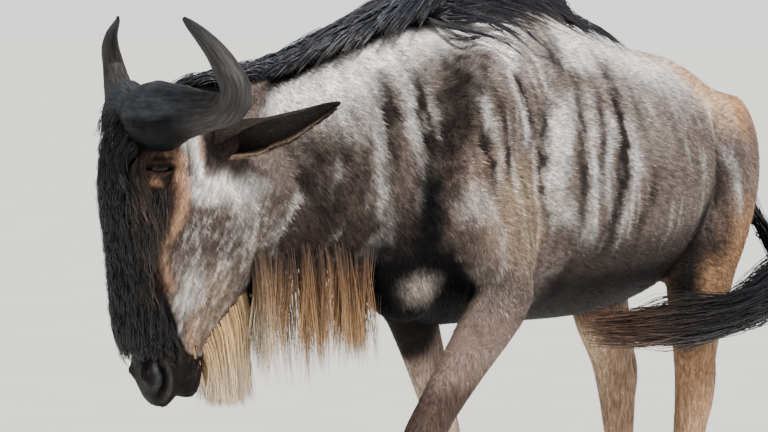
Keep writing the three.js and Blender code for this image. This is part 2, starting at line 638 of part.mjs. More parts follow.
// The whole animal in one
const SPACE = 3000;
const TAIL_DROP = 860; // the tail turns forward again below this height
const before = (y) => block(vec(0, y - SPACE / 2, TAIL_DROP + SPACE / 2), [SPACE, SPACE, SPACE]);
const TAIL_CUT = 1036; // where the dock leaves the rump
const headFlesh = join([skull, jaw, ...ORBITS, ...BROWS, ...CHEEKS, ...NOSTRIL_RIMS, ...LID_BALLS,
  ...EAR_ROOTS])
  .subtract(join([...slits, ...nostrils, mouth]));
const legShapes = Object.keys(LEGS).map((name) => legToHoof(LEGS[name], FEET[name]));
const heels = HEELS.map((knots) => loft(knots, { rings: 5, sides: 6, across: X }));
const hair = join([...maneLocks(), ...fringeLocks(), ...beardLocks(), ...brushLocks()]);
const flesh = join([torso, neck, headFlesh, ...legShapes, ...heels, ...MUSCLES, hair])
  .add(dock.intersect(before(TAIL_CUT)))
  .add(EARS.left.subtract(beyondEarRoot(1, 0)))
  .add(EARS.right.subtract(beyondEarRoot(-1, 0)))
  .subtract(join([horn(HORN_LEFT, 1, 2 * SEAM), horn(HORN_RIGHT, -1, 2 * SEAM), ...sockets]));

// Thin cuts that part it, and a point in each part
function slab(at, size, turn = [0, 0, 0], place = null) {
  const shape = new THREE.BoxGeometry(...size);
  shape.applyMatrix4(new THREE.Matrix4().makeRotationFromEuler(new THREE.Euler(...turn.map(rad))));
  shape.translate(at.x, at.y, at.z);
  if (place) shape.applyMatrix4(place);
  return solid(shape);
}
const CUTS = [
  slab(face(0, 120, -168), [700, SEAM, 760], [16, 0, 0], HEAD_FRAME), // behind ears and jaw
  slab(vec(0, -228, 1020), [700, SEAM, 800], [-18, 0, 0]), // in front of the shoulders
  slab(vec(140, -170, 662), [230, 380, SEAM]), // below the elbows
  slab(vec(-130, 40, 662), [230, 260, SEAM]),
  slab(vec(130, 800, 700), [230, 320, SEAM]), // below the stifles
  slab(vec(-130, 800, 700), [230, 320, SEAM]),
];
const PARTS = {
  torso: vec(0, 300, 950),
  neck: vec(-60, -330, 1000),
  head: face(0, 150, 0).applyMatrix4(HEAD_FRAME),
  foreleg_left: vec(118, -276, 540),
  foreleg_right: vec(-100, 90, 540),
  hindleg_left: vec(118, 780, 540),
  hindleg_right: vec(-118, 820, 540),
};
function partsOf(shape) {
  const found = {};
  for (const body of shape.decompose()) {
    const { min, max } = body.boundingBox();
    const middle = vec(...min).add(vec(...max)).multiplyScalar(0.5);
    const names = Object.keys(PARTS);
    const name = names.reduce((best, n) =>
      (PARTS[n].distanceTo(middle) < PARTS[best].distanceTo(middle) ? n : best));
    if (!found[name] || body.volume() > found[name].volume()) found[name] = body;
  }
  return found;
}

const wildebeest = new THREE.Group();
wildebeest.position.copy(CENTRE).negate();
const put = (name, shape, material) => wildebeest.add(meshOf(name, shape, material));
for (const [name, shape] of Object.entries(partsOf(flesh.subtract(join(CUTS))))) {
  put(name, shape, COAT);
}
for (const [name, side] of Object.entries(SIDES)) {
  const knots = side > 0 ? HORN_LEFT : HORN_RIGHT;
  const parting = slab(face(side * -27, 0, 0), [60, 600, 400], [0, 0, 0], HEAD_FRAME);
  put(`horn_${name}`, horn(knots, side).subtract(parting), HORN);
  put(`ear_${name}`, EARS[name].intersect(beyondEarRoot(side, SEAM)), COAT);
  const ball = bulge(EYE_AT(side), Array(3).fill(EYE_RADIUS), [0, 0, 0], 8, HEAD_FRAME);
  put(`eye_${name}`, ball.subtract(horn(knots, side, SEAM)), EYE);
}
for (const [name, foot] of Object.entries(FEET)) {
  put(`${name}_claw_outer`, claw(foot, foot.at.x > 0 ? 1 : -1), HOOF);
  put(`${name}_claw_inner`, claw(foot, foot.at.x > 0 ? -1 : 1), HOOF);
}
const thighs = join([leg(HINDLEG_LEFT, SEAM), leg(HINDLEG_RIGHT, SEAM)]);
put("tail", dock.subtract(before(TAIL_CUT + SEAM)).add(tuft).subtract(thighs), TAIL_HAIR);

export default wildebeest;
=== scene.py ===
import math

import bpy
import numpy as np
from mathutils import Matrix, Vector
from mathutils.bvhtree import BVHTree


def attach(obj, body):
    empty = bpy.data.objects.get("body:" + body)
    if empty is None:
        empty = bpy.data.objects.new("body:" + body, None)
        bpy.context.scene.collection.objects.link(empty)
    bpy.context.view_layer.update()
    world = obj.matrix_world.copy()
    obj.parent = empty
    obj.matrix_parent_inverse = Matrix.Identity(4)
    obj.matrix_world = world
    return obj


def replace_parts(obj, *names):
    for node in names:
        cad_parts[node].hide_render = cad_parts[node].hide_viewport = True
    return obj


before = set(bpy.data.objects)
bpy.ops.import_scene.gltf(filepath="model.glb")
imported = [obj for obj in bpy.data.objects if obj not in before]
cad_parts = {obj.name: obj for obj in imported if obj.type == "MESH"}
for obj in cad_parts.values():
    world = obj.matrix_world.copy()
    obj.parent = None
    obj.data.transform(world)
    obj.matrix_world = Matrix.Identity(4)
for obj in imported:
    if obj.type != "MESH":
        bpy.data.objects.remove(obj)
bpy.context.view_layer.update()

# The animal's own measures are in millimetres, with the middle of the shoulders over x = 0, y = 0
PLACE = np.array((120.0, -144.0, 0.0))

# The head hangs straight down and is turned to the animal's right
POLL = np.array((-232.0, -632.0, 1110.0))
HEAD = np.array(Matrix.Rotation(math.radians(-32), 3, "Z") @ Matrix.Rotation(math.radians(2.5), 3, "Y"))

# The head lies before HEAD_BACK, and the coat is parted at LEG_TOP and, along the trunk, at COAT_PARTING
HEAD_BACK, LEG_TOP, COAT_PARTING = -480, 700, 60


def in_frame(points):
    """Metres in the shared frame, from the animal's own millimetres."""
    return (np.asarray(points, float) + PLACE) / 1000


def in_animal(points):
    """The animal's own millimetres, from metres in the shared frame."""
    return np.asarray(points, float) * 1000 - PLACE


def face(across, down, out):
    """A point given across the face, down it from the poll and out from its middle."""
    local = np.stack(np.broadcast_arrays(across, -np.asarray(out, float), -np.asarray(down, float)), -1)
    return POLL + local @ HEAD.T


def face_way(across, down, out):
    """A direction given across the face, down it and out."""
    return HEAD @ np.array((across, -out, -down), float)


def face_measures(points):
    """Distances across the face, down it from the poll and out from its middle."""
    local = (points - POLL) @ HEAD
    return local[..., 0], -local[..., 2], -local[..., 1]


def beside_head(points, down):
    """Whether points lie before the neck, from just above the poll to below the chin."""
    return (down > -90) & (down < 600) & (points[:, 1] < HEAD_BACK)


def slanted(side, down, out):
    """Measures of the head turned so that the middle one runs the way its hair lies, back and down."""
    return np.stack((side, down * 0.94 + out * 0.34, out * 0.94 - down * 0.34), 1)


def unit(vectors):
    vectors = np.asarray(vectors, float)
    return vectors / np.maximum(np.linalg.norm(vectors, axis=-1, keepdims=True), 1e-9)


def ease(low, high, value):
    """Rises smoothly from 0 at low to 1 at high, or falls where low is the greater."""
    t = np.clip((np.asarray(value, float) - low) / (high - low), 0, 1)
    return t * t * (3 - 2 * t)


def mix(a, b, t):
    return a + (b - a) * t


def along_path(knots, t):
    """Values on a smooth line through the knots, at t from 0 to 1."""
    knots = np.asarray(knots, float)
    t = np.asarray(t, float)
    held = np.vstack([2 * knots[0] - knots[1], knots, 2 * knots[-1] - knots[-2]])
    s = np.clip(t, 0, 1) * (len(knots) - 1)
    i = np.minimum(s.astype(int), len(knots) - 2)
    f = (s - i)[..., None]
    a, b, c, d = held[i], held[i + 1], held[i + 2], held[i + 3]
    return 0.5 * (2 * b + (c - a) * f + (2 * a - 5 * b + 4 * c - d) * f**2 + (3 * b - a - 3 * c + d) * f**3)


# Shape of the body


def knot(x, y, z, wide, up, down=None, pinch_up=0.0, pinch_down=0.0, square=2.0):
    """One station: its middle, half width, reach up and down, how far each pinches in, and squareness."""
    return (x, y, z, wide, up, up if down is None else down, pinch_up, pinch_down, square)


def leg_knot(x, y, z, wide, front, back=None):
    """A station of a leg: its middle, half width, and reach to the front and back."""
    return knot(x, y, z, wide, front if back is None else back, front)


def trunk_knot(y, top, bottom, wide, middle, pinch):
    """A station of the trunk, widest at its middle height and pinched towards the back."""
    return knot(0, y, middle, wide, top - middle, middle - bottom, pinch, 0.1)


def head_knot(down, front, back, wide, pinch_back=0.1, pinch_front=0.2, square=2.2):
    """A station of the head, down the face, from its front to its back."""
    x, y, z = face(0, down, (front + back) / 2)
    reach = (front - back) / 2
    return knot(x, y, z, wide, reach, reach, pinch_back, pinch_front, square)


# From chest to rump: place along the body, top, bottom, half width, widest height and pinch
TRUNK = [trunk_knot(*row) for row in (
    (-300, 1060, 850, 50, 960, 0.10), (-270, 1120, 785, 100, 955, 0.15),
    (-200, 1215, 730, 144, 950, 0.30), (-100, 1305, 695, 172, 948, 0.42),
    (0, 1345, 690, 188, 945, 0.50), (120, 1340, 682, 204, 935, 0.45),
    (250, 1316, 678, 222, 925, 0.35), (400, 1286, 676, 234, 925, 0.25),
    (550, 1262, 690, 228, 940, 0.20), (670, 1246, 726, 206, 970, 0.18),
    (790, 1223, 785, 182, 1000, 0.20), (890, 1176, 830, 156, 1010, 0.22),
    (972, 1118, 880, 116, 1008, 0.20), (1022, 1060, 930, 58, 1005, 0.20),
)]
NECK = [
    knot(0, -20, 1070, 130, 220, 225, 0.45, 0.3), knot(-10, -170, 1045, 132, 240, 242, 0.5, 0.4),
    knot(-50, -300, 1015, 116, 220, 214, 0.5, 0.5), knot(-100, -400, 990, 102, 198, 186, 0.5, 0.55),
    knot(-152, -490, 980, 94, 176, 158, 0.45, 0.5), knot(-200, -575, 995, 84, 150, 120, 0.4, 0.45),
]
# From poll to lips: distance down, front, back, half width, then pinches and squareness
SKULL = [head_knot(*row) for row in (
    (-62, 30, -60, 45, 0, 0), (-42, 62, -95, 76, 0.1, 0.1), (10, 92, -130, 92),
    (70, 112, -150, 98, 0.2, 0.15), (130, 116, -160, 98, 0.35, 0.15), (190, 113, -150, 90, 0.35, 0.2),
    (250, 106, -112, 77, 0.25, 0.22), (310, 98, -68, 65, 0.12, 0.18),
    (370, 91, -36, 58, 0.05, 0.14, 2.4), (420, 86, -26, 57, 0.05, 0.1, 2.5),
    (462, 77, -20, 60, 0.05, 0.1, 2.5), (498, 67, -8, 61, 0, 0.1, 2.5),
    (524, 54, 6, 54, 0, 0.05, 2.4), (539, 42, 16, 36, 0, 0),
)]
JAW = [head_knot(*row) for row in (
    (50, -60, -130, 60, 0.2, 0), (120, -50, -168, 76, 0.45, 0), (190, -40, -184, 80, 0.5, 0),
    (245, -30, -176, 74, 0.45, 0), (295, -22, -154, 62, 0.4, 0), (345, -16, -116, 50, 0.35, 0),
    (395, -12, -78, 42, 0.25, 0), (440, -8, -59, 41, 0.2, 0), (482, -2, -55, 44, 0.2, 0.1),
    (510, 2, -47, 40, 0.2, 0.1), (525, -4, -34, 22, 0, 0),
)]
FORELEG_RIGHT = [leg_knot(*row) for row in (
    (-118, -95, 1010, 60, 90, 110), (-138, -100, 900, 68, 105, 105), (-148, -30, 810, 58, 82, 88),
    (-136, 22, 730, 46, 62, 76), (-115, 62, 610, 37, 48, 54), (-96, 94, 490, 32, 37, 38),
    (-88, 104, 428, 33, 40, 36), (-85, 116, 368, 26, 30, 28), (-82, 132, 262, 20, 25),
    (-80, 144, 160, 25, 29, 31), (-80, 134, 116, 24, 26), (-80, 120, 72, 29, 33), (-80, 110, 44, 30, 35),
)]
FORELEG_LEFT = [leg_knot(*row) for row in (
    (118, -95, 1010, 60, 90, 110), (140, -110, 900, 68, 105, 105), (152, -80, 812, 60, 90, 92),
    (150, -95, 738, 50, 74, 66), (134, -188, 636, 40, 60, 50), (118, -276, 540, 35, 50, 42),
    (112, -318, 478, 37, 48, 44), (110, -313, 415, 27, 33, 30), (108, -300, 310, 20, 25),
    (107, -290, 205, 22, 26, 27), (107, -288, 158, 26, 30, 31), (107, -290, 116, 24, 27),
    (106, -288, 84, 28, 31), (106, -285, 56, 29, 33),
)]


def hind_knots(side, thigh, stifle, gaskin, hock, hoof):
    """Stations of a hind leg, from the places of its joints along the body."""
    def between(share):
        return mix(hock, hoof, share)

    rows = (
        (84, thigh, 1110, 74, 130, 128), (106, thigh + 8, 1000, 86, 165, 170),
        (122, mix(thigh, stifle, 0.6), 880, 78, 158, 156), (130, stifle, 780, 62, 130, 116),
        (127, gaskin, 670, 50, 94, 72), (119, mix(gaskin, hock, 0.66), 570, 41, 66, 44),
        (114, hock, 492, 38, 56, 42), (111, between(0.15), 425, 33, 46, 38),
        (108, between(0.45), 320, 24, 31, 29), (106, between(0.85), 195, 27, 31),
        (105, hoof - 2, 130, 24, 27), (104, hoof - 20, 74, 29, 33), (104, hoof - 30, 44, 30, 35),
    )
    return [leg_knot(side * row[0], *row[1:]) for row in rows]


def heel_knots(side, gaskin, hock):
    """The cord above the hock, which stands clear of the gaskin."""
    rows = (
        (122, gaskin + 62, 705, 20, 24), (118, mix(gaskin, hock, 0.6) + 62, 600, 13, 17),
        (115, hock + 57, 525, 17, 20), (113, hock + 42, 465, 17, 20), (111, hock + 14, 405, 14, 16),
    )
    return [leg_knot(side * row[0], *row[1:]) for row in rows]


HINDLEG_LEFT = hind_knots(1, 832, 768, 758, 766, 676)
HINDLEG_RIGHT = hind_knots(-1, 832, 785, 792, 838, 850)
TAIL = [knot(*row) for row in (
    (0, 955, 1050, 34, 40), (4, 1015, 1018, 28, 30), (20, 1056, 965, 22, 23), (66, 1082, 885, 17, 18),
    (122, 1076, 812, 15, 15), (176, 1036, 762, 13, 13), (212, 975, 738, 12, 12),
)]
# The line of the mane's roots, and how far the crest stands up round it
CREST = np.array((
    (-196, -570, 1136), (-152, -490, 1152), (-100, -400, 1184), (-50, -300, 1232), (-10, -170, 1284),
    (0, -80, 1316), (0, 20, 1342), (0, 140, 1340), (0, 260, 1316), (0, 380, 1290),
), float)
CREST_PAD = (16, 22, 26, 28, 29, 26, 20, 12, 5, -4)


def rings_of(knots, across, count, sides, trim=0.0):
    """Cross-sections round a smooth line through the knots, each cut square to it."""
    t = np.linspace(0, 1, count)
    rows = along_path(knots, t)
    ahead = unit(along_path(knots, t + 1e-3)[:, :3] - along_path(knots, t - 1e-3)[:, :3])
    side = unit(np.asarray(across, float) - ahead * (ahead @ np.asarray(across, float))[:, None])
    lift = np.cross(side, ahead)
    angle = (np.arange(sides) + 0.5) / sides * 2 * math.pi
    power = 2 / rows[:, 8][:, None]
    c = np.sign(np.cos(angle)) * np.abs(np.cos(angle)) ** power
    s = np.sign(np.sin(angle)) * np.abs(np.sin(angle)) ** power
    pinch = np.where(s > 0, rows[:, 6][:, None], rows[:, 7][:, None])
    wide = np.maximum(rows[:, 3] - trim, 3)[:, None] * (1 - pinch * s * s)
    high = np.where(s > 0, rows[:, 4][:, None], rows[:, 5][:, None]) - trim
    return rows[:, None, :3] + side[:, None] * (c * wide)[..., None] + lift[:, None] * (s * high)[..., None]


def select_only(*objects):
    """Selects these objects and makes the first one active."""
    bpy.ops.object.select_all(action="DESELECT")
    for obj in objects:
        obj.select_set(True)
    bpy.context.view_layer.objects.active = objects[0]


def mesh_object(name, points, faces):
    mesh = bpy.data.meshes.new(name)
    mesh.from_pydata(np.asarray(points, float).reshape(-1, 3), [], faces)
    mesh.update()
    obj = bpy.data.objects.new(name, mesh)
    bpy.context.scene.collection.objects.link(obj)
    return obj


def tube(name, rings):
    """A closed form through cross-sections given in the animal's measures."""
    count, sides = rings.shape[:2]
    i = np.arange(count - 1)[:, None] * sides
    j = np.arange(sides)
    k = (j + 1) % sides
    quads = np.stack([i + j, i + k, i + sides + k, i + sides + j], -1).reshape(-1, 4)
    ends = np.vstack([rings[0].mean(0), rings[-1].mean(0)])
    first, last = count * sides, count * sides + 1
    caps = [(int(b), int(a), first) for a, b in zip(j, k)]
    caps += [(int(a + (count - 1) * sides), int(b + (count - 1) * sides), last) for a, b in zip(j, k)]
    points = in_frame(np.vstack([rings.reshape(-1, 3), ends]))
    obj = mesh_object(name, points, quads.tolist() + caps)
    face_outward(obj)
    return obj


def face_outward(obj):
    """Turns every face of a closed form outwards."""
    select_only(obj)
    bpy.ops.object.mode_set(mode="EDIT")
    bpy.ops.mesh.select_all(action="SELECT")
    bpy.ops.mesh.normals_make_consistent(inside=False)
    bpy.ops.object.mode_set(mode="OBJECT")


def muscle(name, centre, size, turn=(0, 0, 0)):
    """A rounded swelling, added at its size and place."""
    bpy.ops.object.select_all(action="DESELECT")
    bpy.ops.mesh.primitive_uv_sphere_add(
        segments=28, ring_count=18, radius=1, location=in_frame(centre), rotation=turn,
        scale=np.asarray(size, float) / 1000,
    )
    obj = bpy.context.active_object
    obj.name = name
    bpy.ops.object.transform_apply(location=True, rotation=True, scale=True)
    return obj


def head_muscle(name, across, down, out, size):
    """A swelling placed by the face and turned with it."""
    turn = Matrix(HEAD.tolist()).to_euler()
    return muscle(name, face(across, down, out), size, turn)


def apply_modifier(obj, kind, **values):
    select_only(obj)
    modifier = obj.modifiers.new(kind.lower(), kind)
    for key, value in values.items():
        setattr(modifier, key, value)
    bpy.ops.object.modifier_apply(modifier=modifier.name)


def points_of(obj):
    flat = np.empty(len(obj.data.vertices) * 3)
    obj.data.vertices.foreach_get("co", flat)
    return in_animal(flat.reshape(-1, 3))


def normals_of(obj):
    flat = np.empty(len(obj.data.vertices) * 3)
    obj.data.vertices.foreach_get("normal", flat)
    return flat.reshape(-1, 3)


def move_to(obj, points):
    obj.data.vertices.foreach_set("co", in_frame(points).ravel())
    obj.data.update()


def split_faces(obj, chosen):
    """Subdivides the faces whose centres are chosen, in edit mode."""
    select_only(obj)
    centres = np.empty(len(obj.data.polygons) * 3)
    obj.data.polygons.foreach_get("center", centres)
    picked = chosen(in_animal(centres.reshape(-1, 3)))
    bpy.ops.object.mode_set(mode="EDIT")
    bpy.ops.mesh.select_mode(type="FACE")
    bpy.ops.mesh.select_all(action="DESELECT")
    bpy.ops.object.mode_set(mode="OBJECT")
    obj.data.polygons.foreach_set("select", picked)
    bpy.ops.object.mode_set(mode="EDIT")
    bpy.ops.mesh.subdivide(number_cuts=1, smoothness=0.4)
    bpy.ops.mesh.select_all(action="DESELECT")
    bpy.ops.object.mode_set(mode="OBJECT")


# Ways across the forms, and how much thinner each is than with its coat on, in millimetres
X_WAY, BACK_X = (1, 0, 0), (-1, 0, 0)
HEAD_X = HEAD @ (1, 0, 0)
BODY_TRIM, NECK_TRIM, HEAD_TRIM, LEG_TRIM = 5.0, 5.0, 1.5, 0.5

forms = [
    tube("trunk", rings_of(TRUNK, X_WAY, 70, 56, BODY_TRIM)),
    tube("neck", rings_of(NECK, BACK_X, 40, 48, NECK_TRIM)),
    tube("skull", rings_of(SKULL, HEAD_X, 60, 44, HEAD_TRIM)),
    tube("jaw", rings_of(JAW, HEAD_X, 50, 40, HEAD_TRIM)),
    tube("foreleg_right", rings_of(FORELEG_RIGHT, X_WAY, 70, 32, LEG_TRIM)),
    tube("foreleg_left", rings_of(FORELEG_LEFT, X_WAY, 70, 32, LEG_TRIM)),
    tube("hindleg_left", rings_of(HINDLEG_LEFT, X_WAY, 70, 32, LEG_TRIM)),
    tube("hindleg_right", rings_of(HINDLEG_RIGHT, X_WAY, 70, 32, LEG_TRIM)),
    tube("heel_left", rings_of(heel_knots(1, 758, 766), X_WAY, 30, 20)),
    tube("heel_right", rings_of(heel_knots(-1, 792, 838), X_WAY, 30, 20)),
    tube("dock", rings_of(TAIL, X_WAY, 40, 20)),
    tube("crest", rings_of(
        [knot(*at, 24, pad, 44, 0.4) for at, pad in zip(CREST, CREST_PAD)], BACK_X, 60, 20)),
]
# Metres between the points of the joined skin, and the lean of the shoulder blades
SKIN_GRID = 0.0088
lean = math.radians(-14)
forms += [
    muscle("shoulder_left", (114, -112, 1040), (66, 118, 212), (lean, 0, 0)),
    muscle("shoulder_right", (-114, -102, 1040), (66, 118, 212), (lean, 0, 0)),
    muscle("brisket", (0, -205, 800), (84, 80, 90), (math.radians(10), 0, 0)),
]
for side in (1, -1):
    forms += [
        head_muscle("orbit", side * 56, 78, 62, (41, 42, 53)),
        head_muscle("brow", side * 62, 52, 70, (35, 16, 39)),
        head_muscle("cheek", side * 58, 160, -70, (33, 91, 81)),
        head_muscle("nostril_rim", *((37, 474, 45) if side > 0 else (-33, 474, 38)), (20, 42, 20)),
        head_muscle("lid_ball", side * 76, 79, 66, (25, 25, 25)),
        head_muscle("ear_root", side * 82, 36, -54, (34, 38, 40)),
    ]
select_only(*forms)
bpy.ops.object.join()
skin = bpy.context.active_object
skin.name = "skin"
skin.data.name = "skin"
apply_modifier(skin, "REMESH", mode="VOXEL", voxel_size=SKIN_GRID, use_smooth_shade=True)
apply_modifier(skin, "SMOOTH", factor=0.5, iterations=5)


def front_of_head(points):
    """The part of the head that gets finer faces."""
    across, down, out = face_measures(points)
    return (down > -60) & (down < 560) & (out > -60) & (np.abs(across) < 140)


def features_of_head(points):
    """The muzzle and the eyes, which get the finest faces."""
    across, down, out = face_measures(points)
    muzzle = (down > 400) & (down < 560) & (out > -60) & (np.abs(across) < 90)
    eyes = np.hypot(down - 79, out - 66) < 40
    return muzzle | (eyes & (np.abs(across) > 60) & (np.abs(across) < 130))


split_faces(skin, front_of_head)
split_faces(skin, features_of_head)
apply_modifier(skin, "SMOOTH", factor=0.5, iterations=1)


# Folds and features, moved into the skin

# Places tried along a course when the nearest one is looked for
COURSE_STEPS = 48


def nearness(points, knots, reach, across=1.0):
    """1 on a smooth line through the knots, fading to 0 over the reach, with the place along the line.

    Across below 1 makes distances across the animal count for less.
    """
    points = points * (across, 1, 1)
    line = along_path(np.asarray(knots, float) * (across, 1, 1), np.linspace(0, 1, COURSE_STEPS))
    near = np.zeros(len(points))
    place = np.zeros(len(points))
    low, high = line.min(0) - 2.6 * reach, line.max(0) + 2.6 * reach
    inside = np.where(np.all((points > low) & (points < high), axis=1))[0]
    if len(inside) == 0:
        return near, place
    gap = np.linalg.norm(points[inside, None] - line[None], axis=2)
    nearest = gap.argmin(1)
    near[inside] = np.exp(-((gap[np.arange(len(inside)), nearest] / reach) ** 2))
    place[inside] = nearest / (COURSE_STEPS - 1)
    return near, place


def patch(points, centre, size, soft=0.45):
    """1 inside an oval and 0 outside it, with a soft edge."""
    r = np.linalg.norm((points - np.asarray(centre, float)) / np.asarray(size, float), axis=1)
    return 1 - ease(1 - soft, 1 + soft, r)


def face_path(side, rows):
    return np.array([face(side * a, d, o) for a, d, o in rows])


# Folds and ridges of the trunk on the animal's left: depth (in is positive) and reach in millimetres
TRUNK_FOLDS = {
    "behind_shoulder": (11, 26, (
        (118, 128, 1225), (132, 123, 1179), (166, 64, 1089), (186, 20, 999), (190, 40, 920), (172, 80, 840),
    )),
    "rib_edge": (-7, 34, ((150, 170, 1160), (180, 110, 1050), (200, 110, 950), (200, 140, 870))),
    "flank": (13, 26, (
        (74, 723, 1196), (128, 785, 1130), (172, 762, 1050), (190, 745, 985), (186, 736, 924),
        (172, 690, 835), (160, 640, 770),
    )),
    "thigh_edge": (-9, 30, ((150, 800, 1110), (190, 800, 1010), (196, 790, 920), (186, 762, 850))),
    "shoulder_blade": (-7, 30, (
        (70, -150, 1262), (120, -150, 1200), (165, -140, 1110), (186, -150, 1010), (180, -190, 930),
    )),
    "neck_root": (9, 26, (
        (60, -250, 1236), (84, -240, 1158), (112, -235, 1069), (102, -272, 980), (84, -290, 905),
    )),
    "point_of_shoulder": (-10, 40, ((150, -205, 1000), (150, -235, 930), (125, -240, 865))),
    "armpit": (12, 24, ((182, -60, 800), (186, 10, 790), (178, 70, 790), (150, 130, 770))),
    "elbow_point": (-9, 15, ((186, 40, 880), (186, 84, 830), (170, 118, 785), (146, 122, 752))),
    "elbow_crease": (6, 12, ((190, 82, 868), (188, 116, 826), (168, 146, 790))),
    "thigh_groove": (6, 20, ((150, 905, 1090), (172, 880, 980), (165, 850, 860), (150, 830, 740))),
    "rib_one": (3, 15, ((188, 190, 1120), (205, 200, 1000), (205, 190, 900))),
    "rib_two": (3, 15, ((190, 262, 1130), (212, 262, 1000), (214, 262, 880))),
    "rib_three": (3, 15, ((190, 335, 1120), (216, 340, 1000), (216, 335, 880))),
    "rib_four": (3, 16, ((186, 420, 1110), (216, 425, 990), (214, 420, 880))),
    "belly_edge": (6, 30, ((180, 180, 812), (200, 320, 806), (202, 480, 812), (190, 600, 830))),
}
# Folds of the head as distances across, down and out
EAR_CREASES = (
    ((99, 22, 17), (101, 45, 15), (97, 92, 10)),
    ((106, 0, -15), (105, 20, -18), (101, 74, -25)),
)
EAR_RIDGES = (
    ((98, 30, 27), (97, 73, 21)),
    ((105, -8, 3), (105, 10, 1), (102, 60, -5), (98, 102, -8)),
)
TAN_RIDGE = (
    (92, 60, 32), (90, 84, 34), (90, 112, 24), (86, 141, 22), (80, 178, 31), (74, 209, 46), (68, 233, 54),
    (64, 271, 46), (60, 309, 32),
)
HEAD_FOLDS = [(5, 6, rows) for rows in EAR_CREASES] + [(-5, 7, rows) for rows in EAR_RIDGES] + [
    (-6, 12, TAN_RIDGE),
    (5, 12, ((78, 120, 74), (82, 150, 52), (80, 180, 56), (70, 215, 74))),
    (5, 14, ((92, 120, -6), (88, 160, 6), (80, 200, 10), (70, 250, 20))),
    (6, 12, ((70, 250, -92), (60, 300, -76), (50, 350, -56), (44, 400, -44))),
    (5, 14, ((58, 398, 66), (60, 404, 30), (54, 410, 0))),
    (-4, 20, ((0, 180, 112), (0, 280, 104), (0, 380, 90))),
    (6, 9, ((44, 400, -16), (44, 420, -28), (42, 440, -24))),
    (4, 8, ((46, 480, -10), (40, 470, -30), (34, 455, -48))),
]
# The nostril's slit, its open end, the flap outside it and the rim behind
NOSTRIL = ((50, 436, 86), (58, 431, 71), (61, 445, 54), (61, 473, 43), (58, 498, 44), (50, 518, 54))
NOSTRIL_HOLE = ((50, 428, 84), (52, 436, 78), (54, 446, 76))
NOSTRIL_WING = ((58, 450, 70), (60, 470, 62), (57, 495, 62), (50, 510, 68))
NOSTRIL_RIM = ((60, 425, 58), (63, 445, 42), (63, 473, 32), (60, 500, 32), (52, 522, 40))
LIPS = (
    (40, 548, 22), (48, 530, 15), (54, 510, 5), (57, 490, -6), (56, 472, -18), (50, 452, -27), (44, 428, -30),
)
# The eye across, down and out, the radius of its ball and that of the lids round it
EYE_PLACE = (76, 79, 66)
EYEBALL_RADIUS, LID_RADIUS = 21.2, 24.0
# Half the length and height of the opening between the lids
SLIT_LENGTH, SLIT_HEIGHT = 24, 4.8


def eye_measures(points, side):
    """Distances from the middle of an eye along its slit, up across it and straight out, and the way out."""
    across, down, forward = EYE_PLACE
    centre = face(side * across, down, forward)
    out = unit(face_way(side * 0.93, 0.02, 0.36))
    slit = unit(face_way(-side * 0.36, 0.10, 0.93))
    slit = unit(slit - out * (slit @ out))
    up = unit(np.cross(out, slit)) * (1 if face_way(0, -1, 0) @ np.cross(out, slit) > 0 else -1)
    local = points - centre
    return local @ slit, local @ up, local @ out, out


def shape_lids(points, side):
    """Closes the skin over the eye but for a narrow almond, with a thick rim above and below."""
    along, across, outward, out = eye_measures(points, side)
    flat = np.hypot(along / 40, across / 30)
    near = 1 - ease(0.55, 1.25, flat)
    near[(outward < -12) | (flat > 1.3)] = 0
    almond = np.hypot(along / SLIT_LENGTH, (across + 1 - 0.1 * along) / SLIT_HEIGHT)
    ball = np.sqrt(np.maximum(LID_RADIUS**2 - np.minimum(along**2 + across**2, 20.5**2), 0))
    rim = 2.6 * np.exp(-(((almond - 1.35) / 0.42) ** 2))
    rim = rim + 3.0 * np.exp(-(((across - 15) / 5) ** 2)) * (np.abs(along) < 30)
    arch = 0.004 * along**2
    crease = 3.0 * np.exp(-(((across - 21 + arch) / 3) ** 2))
    crease = crease + 2.5 * np.exp(-(((across + 17 - arch) / 3) ** 2))
    closed = ball + 1.0 + rim - crease
    sunk = closed - 11 * (1 - ease(0.8, 1.12, almond))
    target = np.where(flat < 1.3, sunk, outward)
    moved = mix(outward, target, near)
    return points + out * (moved - outward)[:, None]


def shape_features(points, normals):
    """Presses the folds in and lifts the ridges, along the normals."""
    moved = points.copy()

    def push(knots, depth, reach):
        share, _ = nearness(moved, knots, reach)
        moved[:] = moved - normals * (share * depth)[:, None]

    def push_on_head(side, rows, depth, reach):
        local = np.stack(face_measures(moved), 1) * (side, 1, 1)
        share, _ = nearness(local, rows, reach, across=0.4)
        share = share * ease(0, 12, local[:, 0]) * (local[:, 1] < 600)
        moved[:] = moved - normals * (share * depth)[:, None]

    for depth, reach, rows in TRUNK_FOLDS.values():
        for side in (1, -1):
            push(np.array(rows, float) * (side, 1, 1), depth, reach)
    for side in (1, -1):
        for depth, reach, rows in HEAD_FOLDS:
            push(face_path(side, rows), depth, reach)
        push_on_head(side, NOSTRIL_WING, -5 if side > 0 else -2, 10)
        push_on_head(side, NOSTRIL_RIM, -3.5, 5)
        push_on_head(side, NOSTRIL, 9, 4)
        push_on_head(side, NOSTRIL_HOLE, 12, 7)
        push_on_head(side, LIPS, 10, 5)
        moved = shape_lids(moved, side)
    return moved


# The top of each hoof, and by how many degrees the foot is tipped
FEET = (((106, -286, 70), 36), ((-80, 114, 58), 0), ((104, 650, 58), 0), ((-104, 824, 58), 0))


def foot_turn(tip):
    """The turn of a foot that is tipped by so many degrees."""
    return np.array(Matrix.Rotation(math.radians(tip), 3, "X"))


